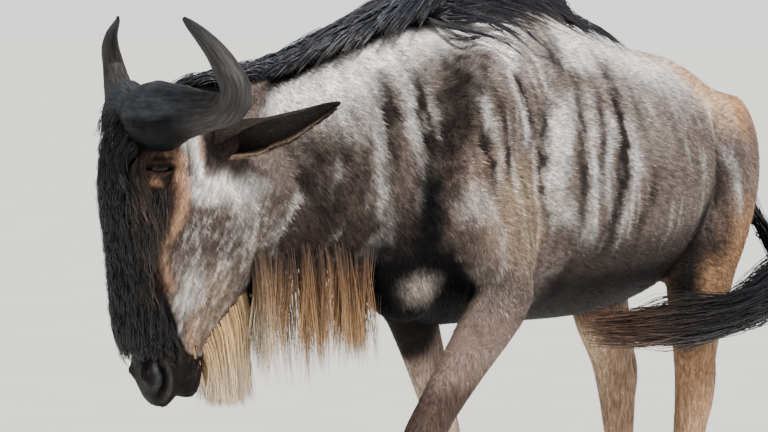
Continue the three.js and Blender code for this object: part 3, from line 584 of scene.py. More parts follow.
def end_at_hoofs(points):
    """Ends the skin of each leg flat, just above the top of its hoof."""
    moved = points.copy()
    for at, tip in FEET:
        turn = foot_turn(tip)
        local = (moved - at) @ turn
        own = (np.abs(local[:, 0]) < 70) & (np.abs(local[:, 1]) < 80) & (local[:, 2] < 1.5)
        local[own, 2] = 1.5
        moved[own] = local[own] @ turn.T + at
    return moved


def smoothed(points, edges, weight, rounds):
    """Moves each point towards its neighbours, by its own weight, some rounds over."""
    moved = points.copy()
    count = np.bincount(edges.ravel(), minlength=len(points))[:, None]
    for _ in range(rounds):
        total = np.zeros_like(moved)
        np.add.at(total, edges[:, 0], moved[edges[:, 1]])
        np.add.at(total, edges[:, 1], moved[edges[:, 0]])
        moved += (total / count - moved) * weight[:, None]
    return moved


def edges_of(obj):
    flat = np.empty(len(obj.data.edges) * 2, np.int32)
    obj.data.edges.foreach_get("vertices", flat)
    return flat.reshape(-1, 2)


skin_points = points_of(skin)
_, head_down, head_out = face_measures(skin_points)
on_trunk = ease(780, 860, skin_points[:, 2]) * (1 - ease(-230, -150, head_out) * (head_down > -90))
skin_points = smoothed(skin_points, edges_of(skin), 0.5 * on_trunk, 40)
move_to(skin, skin_points)
skin_points = shape_features(skin_points, normals_of(skin))
skin_points = end_at_hoofs(skin_points)
move_to(skin, skin_points)


# Markings, the same on skin and coat


def dye(code):
    """A linear colour from the usual six figures."""
    part = np.array([int(code[i:i + 2], 16) for i in (0, 2, 4)]) / 255
    return np.where(part <= 0.04045, part / 12.92, ((part + 0.055) / 1.055) ** 2.4)


# The coat's silver is made brighter than its own colour, as painted sheen of the lit hair
SILVER_SHEEN, ASH, TAUPE, SLATE = dye("e9e5e3"), dye("857c77"), dye("615650"), dye("3c3532")
UMBER, SOOT, INK = dye("2f2622"), dye("171312"), dye("09080a")
SAND, TAN, FAWN, ROSE = dye("b8977a"), dye("a0744f"), dye("86725f"), dye("8a7469")
CHALK = dye("f3ede8")
BARE, DUN = dye("151212"), dye("685c56")
BROWN, CORK = dye("43332a"), dye("b78f72")
BRINDLE_DARK, BRISKET_HIGHLIGHT = dye("211b19"), dye("8f857e")
LEG_GREY, SHIN_PALE, KNEE_DARK = dye("7d6960"), dye("c3a995"), dye("3a2c25")
ELBOW_PALE, THIGH_PALE = dye("a08b80"), dye("cdb292")
CHIN_TAN, RIM_GREY, WING_HIGHLIGHT = dye("9c7a60"), dye("3c3837"), dye("393a3d")


def neck_middle(y):
    """How far the middle of the neck is from x = 0, which it leaves towards the animal's right."""
    return np.interp(y, (-575, -490, -400, -300, -170, 0), (-200, -152, -100, -50, -10, 0))


def drift(points, scale, seed):
    """Soft random values from -1 to 1 that change over the given distances."""
    cell = points / np.asarray(scale, float) + 1000
    low = np.floor(cell).astype(np.int64)
    part = cell - low
    part = part * part * (3 - 2 * part)
    total = np.zeros(len(points))
    for corner in np.ndindex(2, 2, 2):
        at = low + corner
        code = (at[:, 0] * 73856093) ^ (at[:, 1] * 19349663) ^ (at[:, 2] * 83492791) ^ (seed * 2654435761)
        code = (code ^ (code >> 13)) * 1274126177
        value = ((code ^ (code >> 16)) & 0xFFFF) / 32767.5 - 1
        share = np.prod(np.where(corner, part, 1 - part), axis=1)
        total += value * share
    return total


# Dark stripes on the animal's left, mirrored on its right: reach in millimetres, strength and course
STRIPES = (
    (12, 0.9, ((24, -308, 1187), (41, -320, 1145), (53, -328, 1093), (61, -333, 1038), (57, -331, 998))),
    (14, 1.0, ((59, -241, 1186), (77, -252, 1136), (91, -257, 1087), (97, -251, 1024), (105, -260, 957))),
    (14, 0.85, ((57, -139, 1229), (107, -191, 1158), (129, -216, 1090), (125, -232, 1024))),
    (13, 0.75, ((57, -70, 1271), (99, -116, 1227), (135, -164, 1181), (142, -192, 1130), (141, -214, 1081))),
    (8, 0.9, ((162, -177, 1095), (168, -177, 1063), (170, -169, 1022), (172, -176, 963))),
    (9, 0.85, ((160, -135, 1163), (169, -126, 1132), (175, -118, 1094), (180, -115, 1044), (181, -109, 997))),
    (8, 0.8, ((136, -34, 1216), (125, 14, 1176), (143, 19, 1141), (162, 9, 1083), (171, -9, 1045))),
    (7, 0.9, ((155, 107, 1133), (175, 50, 1054), (187, 22, 970), (187, 52, 882))),
    (13, 0.75, ((91, 215, 1250), (119, 186, 1211), (142, 159, 1164))),
    (9, 0.6, ((-19, -437, 1082), (-4, -433, 1042), (6, -421, 996))),
    (9, 0.75, ((-2, -414, 1094), (6, -414, 1062), (17, -410, 1025), (20, -393, 976))),
    (15, 1.0, ((-54, -487, 1064), (-39, -483, 1026), (-27, -467, 978), (-19, -424, 924))),
    (10, 0.7, ((-36, -470, 1090), (-22, -458, 1050), (-10, -440, 1000), (-4, -410, 950))),
    (10, 0.55, ((20, -372, 1112), (28, -377, 1071), (33, -379, 1014), (27, -375, 957))),
    (10, 0.8, (
        (140, 207, 1175), (157, 197, 1142), (183, 169, 1070), (203, 154, 996), (203, 138, 923),
        (192, 130, 858))),
    (7, 0.65, ((156, 282, 1153), (181, 259, 1107), (202, 232, 1032), (212, 206, 970))),
    (13, 0.95, (
        (136, 353, 1191), (175, 325, 1124), (200, 315, 1065), (217, 290, 1000), (220, 268, 931),
        (210, 246, 862), (189, 235, 808))),
    (9, 0.45, ((142, 415, 1180), (178, 395, 1122), (202, 385, 1071))),
    (12, 0.6, ((229, 412, 985), (228, 376, 926), (223, 345, 873), (204, 339, 819))),
    (6, 0.7, ((159, 784, 1093), (187, 747, 1011), (187, 739, 928), (184, 711, 863), (180, 702, 809))),
)
# Pale ridges between them, in the silver that carries painted sheen
RIDGES = (
    (8, 0.75, ((19, -324, 1178), (42, -347, 1093), (48, -349, 1004), (32, -330, 928))),
    (12, 0.8, ((40, -244, 1214), (68, -266, 1148), (86, -274, 1082), (94, -264, 1040))),
    (9, 0.85, ((62, 5, 1283), (91, 3, 1238), (158, -55, 1177), (160, -6, 1101), (166, -20, 1057))),
    (6, 0.6, ((159, -165, 1135), (170, -151, 1089), (179, -142, 1033), (178, -160, 966))),
    (20, 0.85, ((159, 182, 1136), (171, 115, 1091), (183, 79, 1038), (191, 57, 968), (195, 74, 913))),
    (9, 0.55, ((157, 249, 1150), (182, 221, 1092), (203, 194, 1014), (209, 180, 945), (201, 161, 873))),
    (8, 0.65, ((186, 278, 1100), (202, 259, 1041), (214, 238, 992), (215, 228, 933))),
    (12, 0.5, ((198, 347, 1078), (218, 332, 1009), (224, 306, 940), (221, 278, 887))),
    (10, 0.4, ((199, 106, 919), (197, 142, 868))),
    (8, 0.6, ((184, 780, 1010), (194, 783, 964), (195, 791, 916), (195, 804, 879))),
    (9, 0.8, ((123, 767, 1141), (153, 749, 1107), (175, 742, 1059), (186, 749, 1028))),
)
# Courses of the broad marks
COURSES = {
    "back": ((60, 300, 1262), (92, 430, 1232), (92, 566, 1202), (84, 690, 1185), (99, 790, 1155)),
    "elbow": ((186, 60, 862), (182, 92, 820), (168, 116, 786), (148, 118, 756)),
    "under_mane": (
        (-132, -508, 1136), (-90, -452, 1160), (-11, -331, 1216), (11, -220, 1272), (34, -121, 1290),
        (60, -22, 1286), (74, 60, 1290)),
    "chest": (
        (108, -260, 985), (103, -264, 930), (95, -266, 880), (96, -250, 838), (112, -200, 815),
        (112, -150, 776)),
    # The flank course runs down the fold before the thigh, where it is painted dark as shade in the fold
    "flank": (
        (186, 790, 990), (190, 742, 949), (194, 692, 910), (190, 655, 860), (167, 665, 807), (150, 661, 754),
        (148, 668, 700), (150, 690, 620)),
    "dock": ((20, 1056, 965), (66, 1082, 885), (122, 1076, 812), (176, 1036, 762), (212, 975, 738)),
}


def face_edge(down):
    """How far out the dark hair of the face begins, at distances down it."""
    places = (20, 84, 112, 141, 178, 209, 233, 273, 311, 350, 388, 420)
    return np.interp(down, places, (70, 44, 36, 34, 42, 56, 62, 54, 38, 26, 12, 4))


class Coat:
    """Colours laid one over another at points of the coat, the same on the skin and on the hair."""

    def __init__(self, points):
        x, y, _ = points.T
        self.points = points
        self.mirrored = points.copy()
        self.mirrored[:, 0] = neck_middle(y) + np.abs(x - neck_middle(y))
        self.torn = 9 * np.stack([drift(points, (16, 11, 20), seed) for seed in (91, 92, 93)], 1)
        self.tone = np.tile(TAUPE, (len(points), 1))

    def lay(self, colour, share):
        self.tone += (colour - self.tone) * np.clip(share, 0, 1)[:, None]

    def spot(self, colour, strength, centre, size, soft=0.45):
        self.lay(colour, strength * patch(self.mirrored, centre, size, soft))

    def course(self, name, reach, at=None, across=1.0):
        return nearness(self.mirrored if at is None else at, COURSES[name], reach, across)[0]


class HeadCoat:
    """The same colours laid on the head alone, at places across the face, down it and out."""

    def __init__(self, coat):
        self.coat = coat
        self.across, self.down, self.out = face_measures(coat.points)
        self.side = np.abs(self.across)
        self.local = np.stack((self.side, self.down, self.out), 1)
        self.wander = self.local + 10 * drift(self.local, 30, 19)[:, None]
        self.shown = beside_head(coat.points, self.down) & (self.out > -230) & (self.side < 170)

    def lay(self, colour, share):
        self.coat.lay(colour, share * self.shown)

    def spot(self, colour, strength, centre, size, soft=0.4):
        self.lay(colour, strength * patch(self.local, centre, size, soft))

    def cloud(self, colour, strength, centre, size, soft):
        self.lay(colour, strength * patch(self.wander, centre, size, soft))

    def line(self, colour, strength, rows, reach):
        share, _ = nearness(self.local * (0.3, 1, 1), np.array(rows, float) * (0.3, 1, 1), reach)
        self.lay(colour, strength * np.minimum(1.3 * share, 1))


def paint_body(coat):
    """Silver and ash over shoulder, ribs and back, the silver made brighter as painted sheen, sand over rump
    and thighs, and painted shade along the flank fold.
    """
    _, y, z = coat.points.T
    coat.spot(ASH, 0.8, (120, 0, 1240), (160, 230, 80))
    coat.spot(SILVER_SHEEN, 0.6, (120, 260, 1225), (90, 60, 40))
    coat.spot(SILVER_SHEEN, 0.7, (95, 0, 1245), (60, 60, 50))
    coat.spot(ASH, 0.5, (200, 400, 1110), (120, 130, 110))
    coat.lay(SILVER_SHEEN, 0.85 * coat.course("back", 62, across=0.5))
    coat.spot(SAND, 0.5, (60, 720, 1215), (160, 90, 50))
    coat.spot(ROSE, 0.8, (170, -160, 960), (90, 90, 100))
    coat.spot(FAWN, 0.85, (185, -60, 920), (90, 120, 110))
    coat.spot(SILVER_SHEEN, 0.3, (176, -208, 945), (60, 34, 44))
    coat.spot(SAND, 1.0, (110, 840, 1130), (120, 130, 90))
    coat.spot(TAN, 0.7, (150, 890, 1080), (80, 60, 60))
    coat.spot(ROSE, 0.7, (160, 950, 1000), (90, 90, 90))
    coat.spot(UMBER, 0.45, (170, 905, 1010), (60, 26, 60))
    # Painted shade in the flank fold
    coat.spot(UMBER, 0.6, (195, 745, 930), (70, 20, 70))
    coat.spot(TAN, 0.6, (180, 850, 800), (90, 110, 110))
    # Painted shade lower down the flank fold
    coat.spot(UMBER, 0.7, (175, 690, 790), (60, 40, 90))
    # The neck is silver under the mane, brightened as painted sheen, and dark towards the throat
    coat.lay(UMBER, 0.85 * ease(1010, 890, z) * ease(-190, -260, y))
    coat.lay(SILVER_SHEEN, 1.2 * coat.course("under_mane", 52))


def paint_brindle(coat):
    """Dark stripes and pale ridges by name, with a finer irregular striping between them."""
    _, y, z = coat.points.T
    trunk = ease(760, 840, z) * (1 - ease(640, 760, y))
    fine = drift(coat.mirrored + 14 * drift(coat.mirrored, 60, 5)[:, None], (70, 15, 110), 3)
    fine = fine + 0.6 * drift(coat.mirrored, (60, 8, 60), 4)
    coat.lay(UMBER, 0.45 * trunk * ease(0.1, 0.8, fine) * (1 - 0.6 * ease(250, 500, y)))
    coat.lay(SILVER_SHEEN, 0.3 * trunk * ease(0.2, 0.9, -fine) * (1 - 0.5 * ease(250, 500, y)))
    ragged = 0.9 + 0.5 * drift(coat.points, (14, 14, 26), 9)
    for colour, stripes, broad, much in ((SILVER_SHEEN, RIDGES, 1.35, 0.6), (BRINDLE_DARK, STRIPES, 1.35, 1.15)):
        for width, strength, rows in stripes:
            share, place = nearness(coat.mirrored + coat.torn, rows, width * broad, across=0.35)
            fade = np.sin(np.pi * np.clip(0.1 + 0.8 * place, 0, 1)) ** 0.5
            coat.lay(colour, much * strength * np.minimum(share * 1.5, 1) * fade * ragged)
    oval = np.linalg.norm((coat.mirrored - (195, 751, 866)) / (80, 17, 24), axis=1)
    coat.lay(UMBER, 0.5 * (1 - ease(0.4, 1.3, oval)))


def paint_underside(coat):
    """The belly is painted darker and then black towards its lower edge, as painted shade on the underside.
    Throat, chest, brisket and the skin of the crest are black, with a painted highlight on the brisket's
    bulge.
    """
    x, y, z = coat.points.T
    torn = coat.torn
    # Painted shade on the underside: the belly darkens, and turns black along its lower edge
    coat.lay(UMBER, 0.95 * ease(900, 800, z) * ease(70, 160, y) * (1 - ease(720, 820, y)))
    edge = ease(815, 757, z - 0.04 * (y - 300) + torn[:, 0])
    coat.lay(INK, 0.95 * edge * ease(60, 120, y) * (1 - ease(700, 800, y)))
    inner = 1 - ease(116, 146, np.abs(x) + 0.5 * np.maximum(z - 880, 0))
    low = ease(890, 825, z + 0.22 * (y + 200) + 3 * torn[:, 2])
    coat.lay(INK, low * inner * (1 - ease(60, 140, y)) * ease(-350, -305, y))
    coat.lay(SOOT, 0.55 * patch(coat.mirrored + 2 * torn, (84, -280, 880), (60, 50, 60), 0.7))
    coat.lay(INK, 1.1 * coat.course("chest", 30, coat.mirrored + 1.4 * torn))
    # Painted highlight: a pale patch where the brisket bulges
    coat.lay(BRISKET_HIGHLIGHT, 0.95 * patch(coat.mirrored + 0.8 * torn, (78, -246, 778), (42, 34, 28), 0.8))
    from_crest = x - np.interp(y, CREST[:, 1], CREST[:, 0])
    above = ease(-70, -40, z - np.interp(y, CREST[:, 1], CREST[:, 2]))
    coat.lay(INK, ease(38, 26, np.abs(from_crest)) * above * (1 - ease(240, 340, y)))
    crown, _ = nearness(coat.points, CREST, 40)
    coat.lay(INK, 1.6 * crown * ease(14, -4, from_crest) * (1 - ease(100, 220, y)))


def paint_legs(coat):
    """Pale legs, darker knees, and the dark dock of the tail, with painted shade on the upper right foreleg,
    the right stifle, between the hind legs, on the front of the left hind leg and down the flank fold.
    """
    x, y, z = coat.points.T
    apart = ease(84, 108, np.abs(x))
    ahead = np.where(z > 690, ease(125, 95, y), y < 240)
    fore = ease(770, 700, z) * ahead * np.maximum(apart, ease(690, 670, z))
    hind = ease(820, 700, z) * ease(620, 720, y) * np.maximum(apart, ease(690, 660, z))
    coat.lay(LEG_GREY, 0.85 * fore)
    coat.lay(SHIN_PALE, 0.75 * ease(650, 560, z + 170 * (x > 0)) * (y < 240))
    coat.lay(KNEE_DARK, 0.85 * (1 - ease(40, 110, np.abs(z - 525))) * (y < 240) * (x > 0))
    coat.lay(ELBOW_PALE, 0.5 * coat.course("elbow", 11))
    coat.lay(SAND, 0.75 * hind)
    coat.lay(TAN, 0.55 * hind * ease(300, 600, z) * ease(-20, 40, x))
    mottle = drift(coat.points, (24, 24, 60), 61)
    coat.lay(UMBER, 0.28 * ease(0.2, 0.9, mottle) * (fore + hind))
    # Painted shade: the upper right foreleg, under the body, is painted black
    right_foreleg_shade = ease(590, 640, z - 1.2 * (y - 15)) * ease(-40, -80, x)
    coat.lay(INK, 0.95 * right_foreleg_shade * (y < 200) * (z < 830))
    # Painted shade on the front of the left hind leg
    coat.lay(UMBER, 0.75 * hind * ease(712, 676, y) * ease(500, 600, z) * (x > 0))
    # Painted shade: the upper front of the right hind leg, under the belly, is painted near black
    right_stifle_shade = ease(-60, -100, x) * ease(560, 640, y) * ease(850, 790, y)
    coat.lay(SOOT, 0.85 * ease(590, 690, z) * right_stifle_shade * ease(870, 800, z))
    # Painted shade: between the hind legs, near the middle, is painted near black
    inside = ease(560, 640, y) * ease(70, 30, np.abs(x))
    coat.lay(SOOT, 0.85 * ease(590, 680, z) * inside * ease(910, 850, z))
    coat.lay(THIGH_PALE, 0.6 * hind * (x < 0) * ease(650, 610, z) * ease(800, 750, y))
    # Painted shade: a near black band down the flank fold, on the left side only
    coat.lay(SOOT, 1.15 * coat.course("flank", 30) * ease(-10, 10, x) * mix(1, 0.45, ease(860, 960, z)))
    coat.lay(UMBER, 0.7 * ease(150, 90, z))
    coat.lay(SOOT, 1.5 * coat.course("dock", 40, coat.points) * (y > 930))


def paint_cheeks(head):
    """Chalk and slate patches on the sides of the head, with streaks that slant back and down."""
    head.lay(DUN, ease(-200, -150, head.out))
    head.cloud(CHALK, 0.95, (95, 120, -55), (60, 24, 74), 0.7)
    head.cloud(CHALK, 0.25, (80, 160, -96), (60, 50, 30), 0.8)
    head.cloud(CHALK, 0.5, (66, 312, -14), (50, 44, 34), 0.7)
    head.cloud(SLATE, 0.55, (80, 205, -30), (70, 60, 70), 0.7)
    head.spot(FAWN, 0.7, (60, 345, -60), (60, 80, 40))
    head.spot(SOOT, 0.95, (104, 30, -50), (60, 48, 34))
    head.spot(UMBER, 0.7, (100, 50, -90), (60, 50, 40))
    head.spot(SILVER_SHEEN, 0.7, (100, 60, 10), (50, 50, 20))
    slant = slanted(head.side, head.down, head.out)
    streak = 0.5 * drift(slant + 5 * drift(head.local, 40, 8)[:, None], (60, 46, 9), 21)
    streak = streak + 0.9 * drift(slant, (40, 20, 3.5), 22)
    below = ease(116, 150, head.down)
    head.lay(UMBER, 0.5 * ease(0.0, 0.8, streak) * below)
    head.lay(CHALK, 0.42 * ease(0.1, 0.9, -streak) * below)
    for rows in EAR_RIDGES:
        head.line(CHALK, 0.8, rows, 6)
    head.line(TAN, 0.8, ((105, -8, 0), (105, 10, -3), (102, 60, -10)), 5)
    # The creases at the ear's root are painted dark, as painted shade in them
    for rows in EAR_CREASES:
        head.line(SOOT, 0.85, rows, 4.5)


def paint_front(head):
    """The black front of the face, brown beside it and round the eyes, with the tan ridge."""
    local, side, down, out = head.local, head.side, head.down, head.out
    front = ease(-5, 5, out - face_edge(down) - 7 * drift(local, (40, 22, 40), 31))
    head.lay(INK, front)
    beside = ease(34, 60, side) * ease(30, 80, down) * (1 - ease(240, 320, down))
    head.lay(UMBER, 0.8 * front * beside * (0.75 + 0.5 * drift(local, (20, 26, 12), 33)))
    around_eye = patch(local, (88, 88, 66), (56, 56, 54), 0.5)
    head.lay(BROWN, 0.9 * around_eye * (0.8 + 0.4 * drift(local, (20, 14, 8), 35)))
    head.line(BROWN, 0.7, TAN_RIDGE, 20)
    head.line(CORK, 0.9, TAN_RIDGE[:6], 11)
    head.line(CORK, 0.4, TAN_RIDGE[5:], 9)
    head.line(CORK, 0.4, ((92, 50, 56), (92, 50, 44), (92, 62, 32)), 7)
    head.cloud(CORK, 0.5, (88, 106, 76), (26, 9, 12), 0.9)
    head.spot(CHIN_TAN, 0.6, (45, 402, -22), (40, 34, 14), 0.7)
    head.line(SOOT, 1.0, ((90, 77, 102), (94, 76, 74), (92, 77, 46)), 4.5)
    head.line(SOOT, 0.9, ((90, 79, 48), (88, 96, 50), (86, 112, 54)), 5)


def paint_muzzle(head):
    """Bare dark skin with specks, paler rims, a painted highlight on each nostril's wing, and black nostrils
    and lips, the nostril slits partly painted shade.
    """
    local, down, out = head.local, head.down, head.out
    muzzle_edge = np.interp(out, (-60, -30, 0, 30, 60, 90), (440, 445, 418, 424, 428, 418))
    bare = ease(-6, 8, down - muzzle_edge - 5 * drift(local, 12, 41))
    head.lay(BARE, bare * (out > -70))
    specks = ease(0.35, 0.8, drift(local, 3, 43)) * ease(400, 420, down) * (1 - ease(450, 490, down))
    head.lay(DUN, 0.3 * specks * (out < 80) * bare)
    head.line(RIM_GREY, 0.75, NOSTRIL_RIM, 5)
    # Painted highlight on the raised wing of each nostril
    head.line(WING_HIGHLIGHT, 0.8, ((58, 455, 60), (60, 475, 53), (56, 500, 54)), 8)
    # The slit is painted black, partly the dark nostril and partly painted shade in its groove
    head.line(INK, 1.0, NOSTRIL, 4.5)
    head.line(INK, 1.0, NOSTRIL_HOLE, 8)
    head.line(INK, 0.8, LIPS, 5)
    head.lay(INK, ease(0, -26, down) * ease(-150, -120, out))


def markings(points):
    """The colour of the coat at each point, from soft patches and stripes named by place."""
    coat = Coat(points)
    for paint in (paint_body, paint_brindle, paint_underside, paint_legs):
        paint(coat)
    head = HeadCoat(coat)
    for paint in (paint_cheeks, paint_front, paint_muzzle):
        paint(head)
    return coat.tone


def lie_of_coat(points):
    """The way the hair lies at each point."""
    _, y, z = points.T
    way = np.tile((0.0, 1.0, -0.25), (len(points), 1))

    def turn(to, share):
        way[:] = way + (np.asarray(to, float) - way) * share[:, None]

    turn((0.15, 0.75, -0.65), ease(-140, -260, y))
    turn((0, 0.45, -0.9), ease(930, 800, z) * (1 - ease(120, 220, y)))
    turn((0, 0.35, -0.95), ease(650, 740, y) * ease(1120, 1000, z))
    turn((0, 0.05, -1), ease(760, 660, z))
    across, down, out = face_measures(points)
    on_head = (down > -90) & (down < 600) & (y < -470)
    share = ease(-190, -150, out) * on_head
    turn(face_way(0, 1, 0.02), share)
    cheek = ease(40, -20, out) * share
    back = np.array([face_way(s * 0.1, 0.75, -0.66) for s in (1, -1)])
    way += (np.where((across > 0)[:, None], back[0], back[1]) - way) * (0.9 * cheek)[:, None]
    return unit(way)


def unwrap(points):
    """Places on a flat layout of the skin: trunk and neck above, head and legs below it."""
    x, y, z = points.T
    across, down, out = face_measures(points)
    on_head = beside_head(points, down) & (out > -190) & (np.abs(across) < 240)
    axis_z = np.interp(y, (-600, 0, 1000), (990, 960, 1010))
    turn = np.arctan2(x - neck_middle(y), z - axis_z) / (2 * math.pi) + 0.5
    u, v = 0.02 + 0.96 * turn, 0.52 + 0.46 * (y + 700) / 1800
    turn = np.arctan2(across, out + 30) / (2 * math.pi) + 0.5
    u = np.where(on_head, 0.02 + 0.44 * turn, u)
    v = np.where(on_head, 0.02 + 0.46 * (down + 100) / 720, v)
    leg = z < 690
    for number, (middle_x, middle_y) in enumerate(((110, -220), (-95, 80), (112, 760), (-112, 820))):
        own = leg & (np.sign(x) == np.sign(middle_x)) & ((y < 300) == (middle_y < 300)) & ~on_head
        centre_y = middle_y
        if middle_x > 0:
            centre_y = np.interp(z, (60, 400, 700), (middle_y - 60, middle_y - 60, middle_y + 60))
        turn = np.arctan2(x - middle_x, y - centre_y) / (2 * math.pi) + 0.5
        u = np.where(own, 0.5 + 0.12 * (number + 0.05 + 0.9 * turn), u)
        v = np.where(own, 0.02 + 0.46 * z / LEG_TOP, v)
    return np.stack((np.clip(u, 0.004, 0.996), np.clip(v, 0.004, 0.996)), 1)


def paint_points(obj, name, colours):
    """Stores a colour for each point of a mesh."""
    attribute = obj.data.attributes.new(name, "FLOAT_COLOR", "POINT")
    full = np.ones((len(colours), 4))
    full[:, :3] = colours
    attribute.data.foreach_set("color", full.ravel())


def mark_places(obj, name, places):
    """Stores a place for each point of a mesh, which its finish is laid by."""
    attribute = obj.data.attributes.new(name, "FLOAT_VECTOR", "POINT")
    attribute.data.foreach_set("vector", np.asarray(places, float).ravel())


def head_region(points):
    """Whether points belong to the coat of the head."""
    across, down, out = face_measures(points)
    return beside_head(points, down) & (out > -190) & (np.abs(across) < 150)


def along_coat(points):
    """Measures turned the way the hair lies on the back and on the neck, and the shares of leg and neck."""
    x, y, z = points.T
    low = ease(740, 660, z)
    neck = ease(-120, -220, y) * (1 - low)
    back = np.stack((x, 0.96 * y - 0.26 * z, 0.26 * y + 0.96 * z), 1)
    fore = np.stack((x, 0.7 * y - 0.7 * z, 0.7 * y + 0.7 * z), 1)
    return back, fore, low, neck


def hair_way(points):
    """Places, in metres, turned so that the middle one runs the way the hair lies."""
    back, fore, low, neck = along_coat(points)
    low, neck = low[:, None], neck[:, None]
    turned = back * (1 - neck) * (1 - low) + fore * neck + points[:, [0, 2, 1]] * low
    return np.where(head_region(points)[:, None], slanted(*face_measures(points)), turned) / 1000


paint_points(skin, "tone", markings(skin_points))
mark_places(skin, "grain", hair_way(skin_points))

# The skin stands for head, neck and torso, and for the legs above the hoofs
flesh = [
    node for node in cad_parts
    if node in ("head", "neck", "torso") or node.startswith(("foreleg", "hindleg")) and "claw" not in node]
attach(skin, "root")
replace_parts(skin, *flesh)


# Hair and coat, as closed tapering tufts

# Stations along a long hair and along one of the tail, and the size of a tuft in the flat layout
STATIONS, TAIL_STATIONS = 7, 9
PATCH = 0.003
THROAT = (
    (-184, -548, 868), (-160, -505, 846), (-115, -420, 826), (-70, -330, 810), (-40, -255, 796),
    (-20, -200, 770),
)
TAIL_LINE = np.array((
    (40, 1074, 925), (92, 1082, 848), (150, 1060, 784), (196, 1008, 748), (222, 930, 722), (232, 820, 692),
    (226, 690, 672), (210, 550, 664), (188, 420, 664), (162, 300, 670), (140, 215, 678),
), float)

skin.data.calc_loop_triangles()
skin_triangles = np.empty(len(skin.data.loop_triangles) * 3, np.int32)
skin.data.loop_triangles.foreach_get("vertices", skin_triangles)
skin_triangles = skin_triangles.reshape(-1, 3)
skin_normals = normals_of(skin)
skin_tree = BVHTree.FromPolygons([Vector(p) for p in skin_points], skin_triangles.tolist())


def scatter(density, count, rng):
    """Places spread over the skin, closer together where the density is higher, with their normals."""
    a, b, c = (skin_points[skin_triangles[:, i]] for i in range(3))
    area = np.linalg.norm(np.cross(b - a, c - a), axis=1)
    share = area * density((a + b + c) / 3)
    pick = rng.choice(len(share), count, p=share / share.sum())
    u, v = rng.random((2, count, 1))
    over = (u + v) > 1
    u, v = np.where(over, 1 - u, u), np.where(over, 1 - v, v)
    corners = skin_triangles[pick]

    def between(values):
        return values[corners[:, 0]] * (1 - u - v) + values[corners[:, 1]] * u + values[corners[:, 2]] * v

    return between(skin_points), unit(between(skin_normals))


def on_skin(points):
    """The nearest places on the skin, with its normals there."""
    found = [skin_tree.find_nearest(Vector(p)) for p in points]
    return np.array([f[0] for f in found]), np.array([f[1] for f in found])


def tufts(name, lines, half_width, facing, roots, tone, thickness=0.5, soft=0.0):
    """One mesh of closed three-sided tufts along lines, each ending in a point.

    lines is tufts x stations x 3, half_width tufts x (stations - 1), facing the way their flat side
    looks, roots where they grow, and tone tufts x stations x 3. Soft turns the shading towards facing.
    """
    count, stations = lines.shape[:2]
    ahead = unit(np.gradient(lines, axis=1))
    up = unit(facing[:, None] - ahead * (ahead * facing[:, None]).sum(-1, keepdims=True))
    side = np.cross(ahead, up)
    w = half_width[..., None, None]
    corners = np.array(((1.0, 0.0), (-0.5, 1.0), (-0.5, -1.0)))
    rings = lines[:, :-1, None] + w * (
        up[:, :-1, None] * (corners[:, 0] * thickness)[:, None] + side[:, :-1, None] * corners[:, 1][:, None])
    each = (stations - 1) * 3 + 1
    points = np.concatenate([rings.reshape(count, -1, 3), lines[:, -1:]], axis=1)
    start = np.arange(count)[:, None] * each
    pattern = [(0, 2, 1)]
    for r in range(stations - 2):
        for c in range(3):
            a, b = r * 3 + c, r * 3 + (c + 1) % 3
            pattern += [(a, b, b + 3), (a, b + 3, a + 3)]
    for c in range(3):
        pattern.append(((stations - 2) * 3 + c, (stations - 2) * 3 + (c + 1) % 3, each - 1))
    corners_at = (start + np.array(pattern).ravel()[None]).reshape(-1)
    mesh = bpy.data.meshes.new(name)
    mesh.vertices.add(count * each)
    mesh.vertices.foreach_set("co", in_frame(points.reshape(-1, 3)).ravel())
    mesh.loops.add(len(corners_at))
    mesh.loops.foreach_set("vertex_index", corners_at.astype(np.int32))
    mesh.polygons.add(len(corners_at) // 3)
    mesh.polygons.foreach_set("loop_start", np.arange(0, len(corners_at), 3, dtype=np.int32))
    mesh.update(calc_edges=True)
    mesh.shade_smooth()
    obj = bpy.data.objects.new(name, mesh)
    bpy.context.scene.collection.objects.link(obj)
    spread = np.concatenate([np.repeat(tone[:, :-1], 3, axis=1), tone[:, -1:]], axis=1)
    paint_points(obj, "tone", spread.reshape(-1, 3))
    if soft:
        round_way = up[:, :, None] * corners[:, 0][:, None] + side[:, :, None] * corners[:, 1][:, None]
        own = np.concatenate([round_way[:, :-1].reshape(count, -1, 3), up[:, -1:]], axis=1)
        blended = unit(own * (1 - soft) + facing[:, None] * soft)
        mesh.normals_split_custom_set_from_vertices(blended.reshape(-1, 3))
    place = np.linspace(0, 1, stations)
    place = np.append(np.repeat(place[:-1], 3), 1.0)
    corner = np.append(np.tile((0.0, 0.5, 1.0), stations - 1), 0.5)
    flat = unwrap(roots)[:, None] + PATCH * np.stack((corner - 0.5, place - 0.5), 1)[None]
    layer = mesh.uv_layers.new(name="OFBake")
    layer.uv.foreach_set("vector", flat.reshape(-1, 2)[corners_at].ravel())
    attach(obj, "root")
    return obj


def taper(count, stations, widest, rng):
    """Half widths of hairs along their length, each hair with its own."""
    shape = np.interp(np.linspace(0, 1, stations)[:-1], (0, 0.25, 0.7, 1), (0.75, 1, 0.75, 0.18))
    return widest * (0.75 + 0.5 * rng.random(count))[:, None] * shape[None]


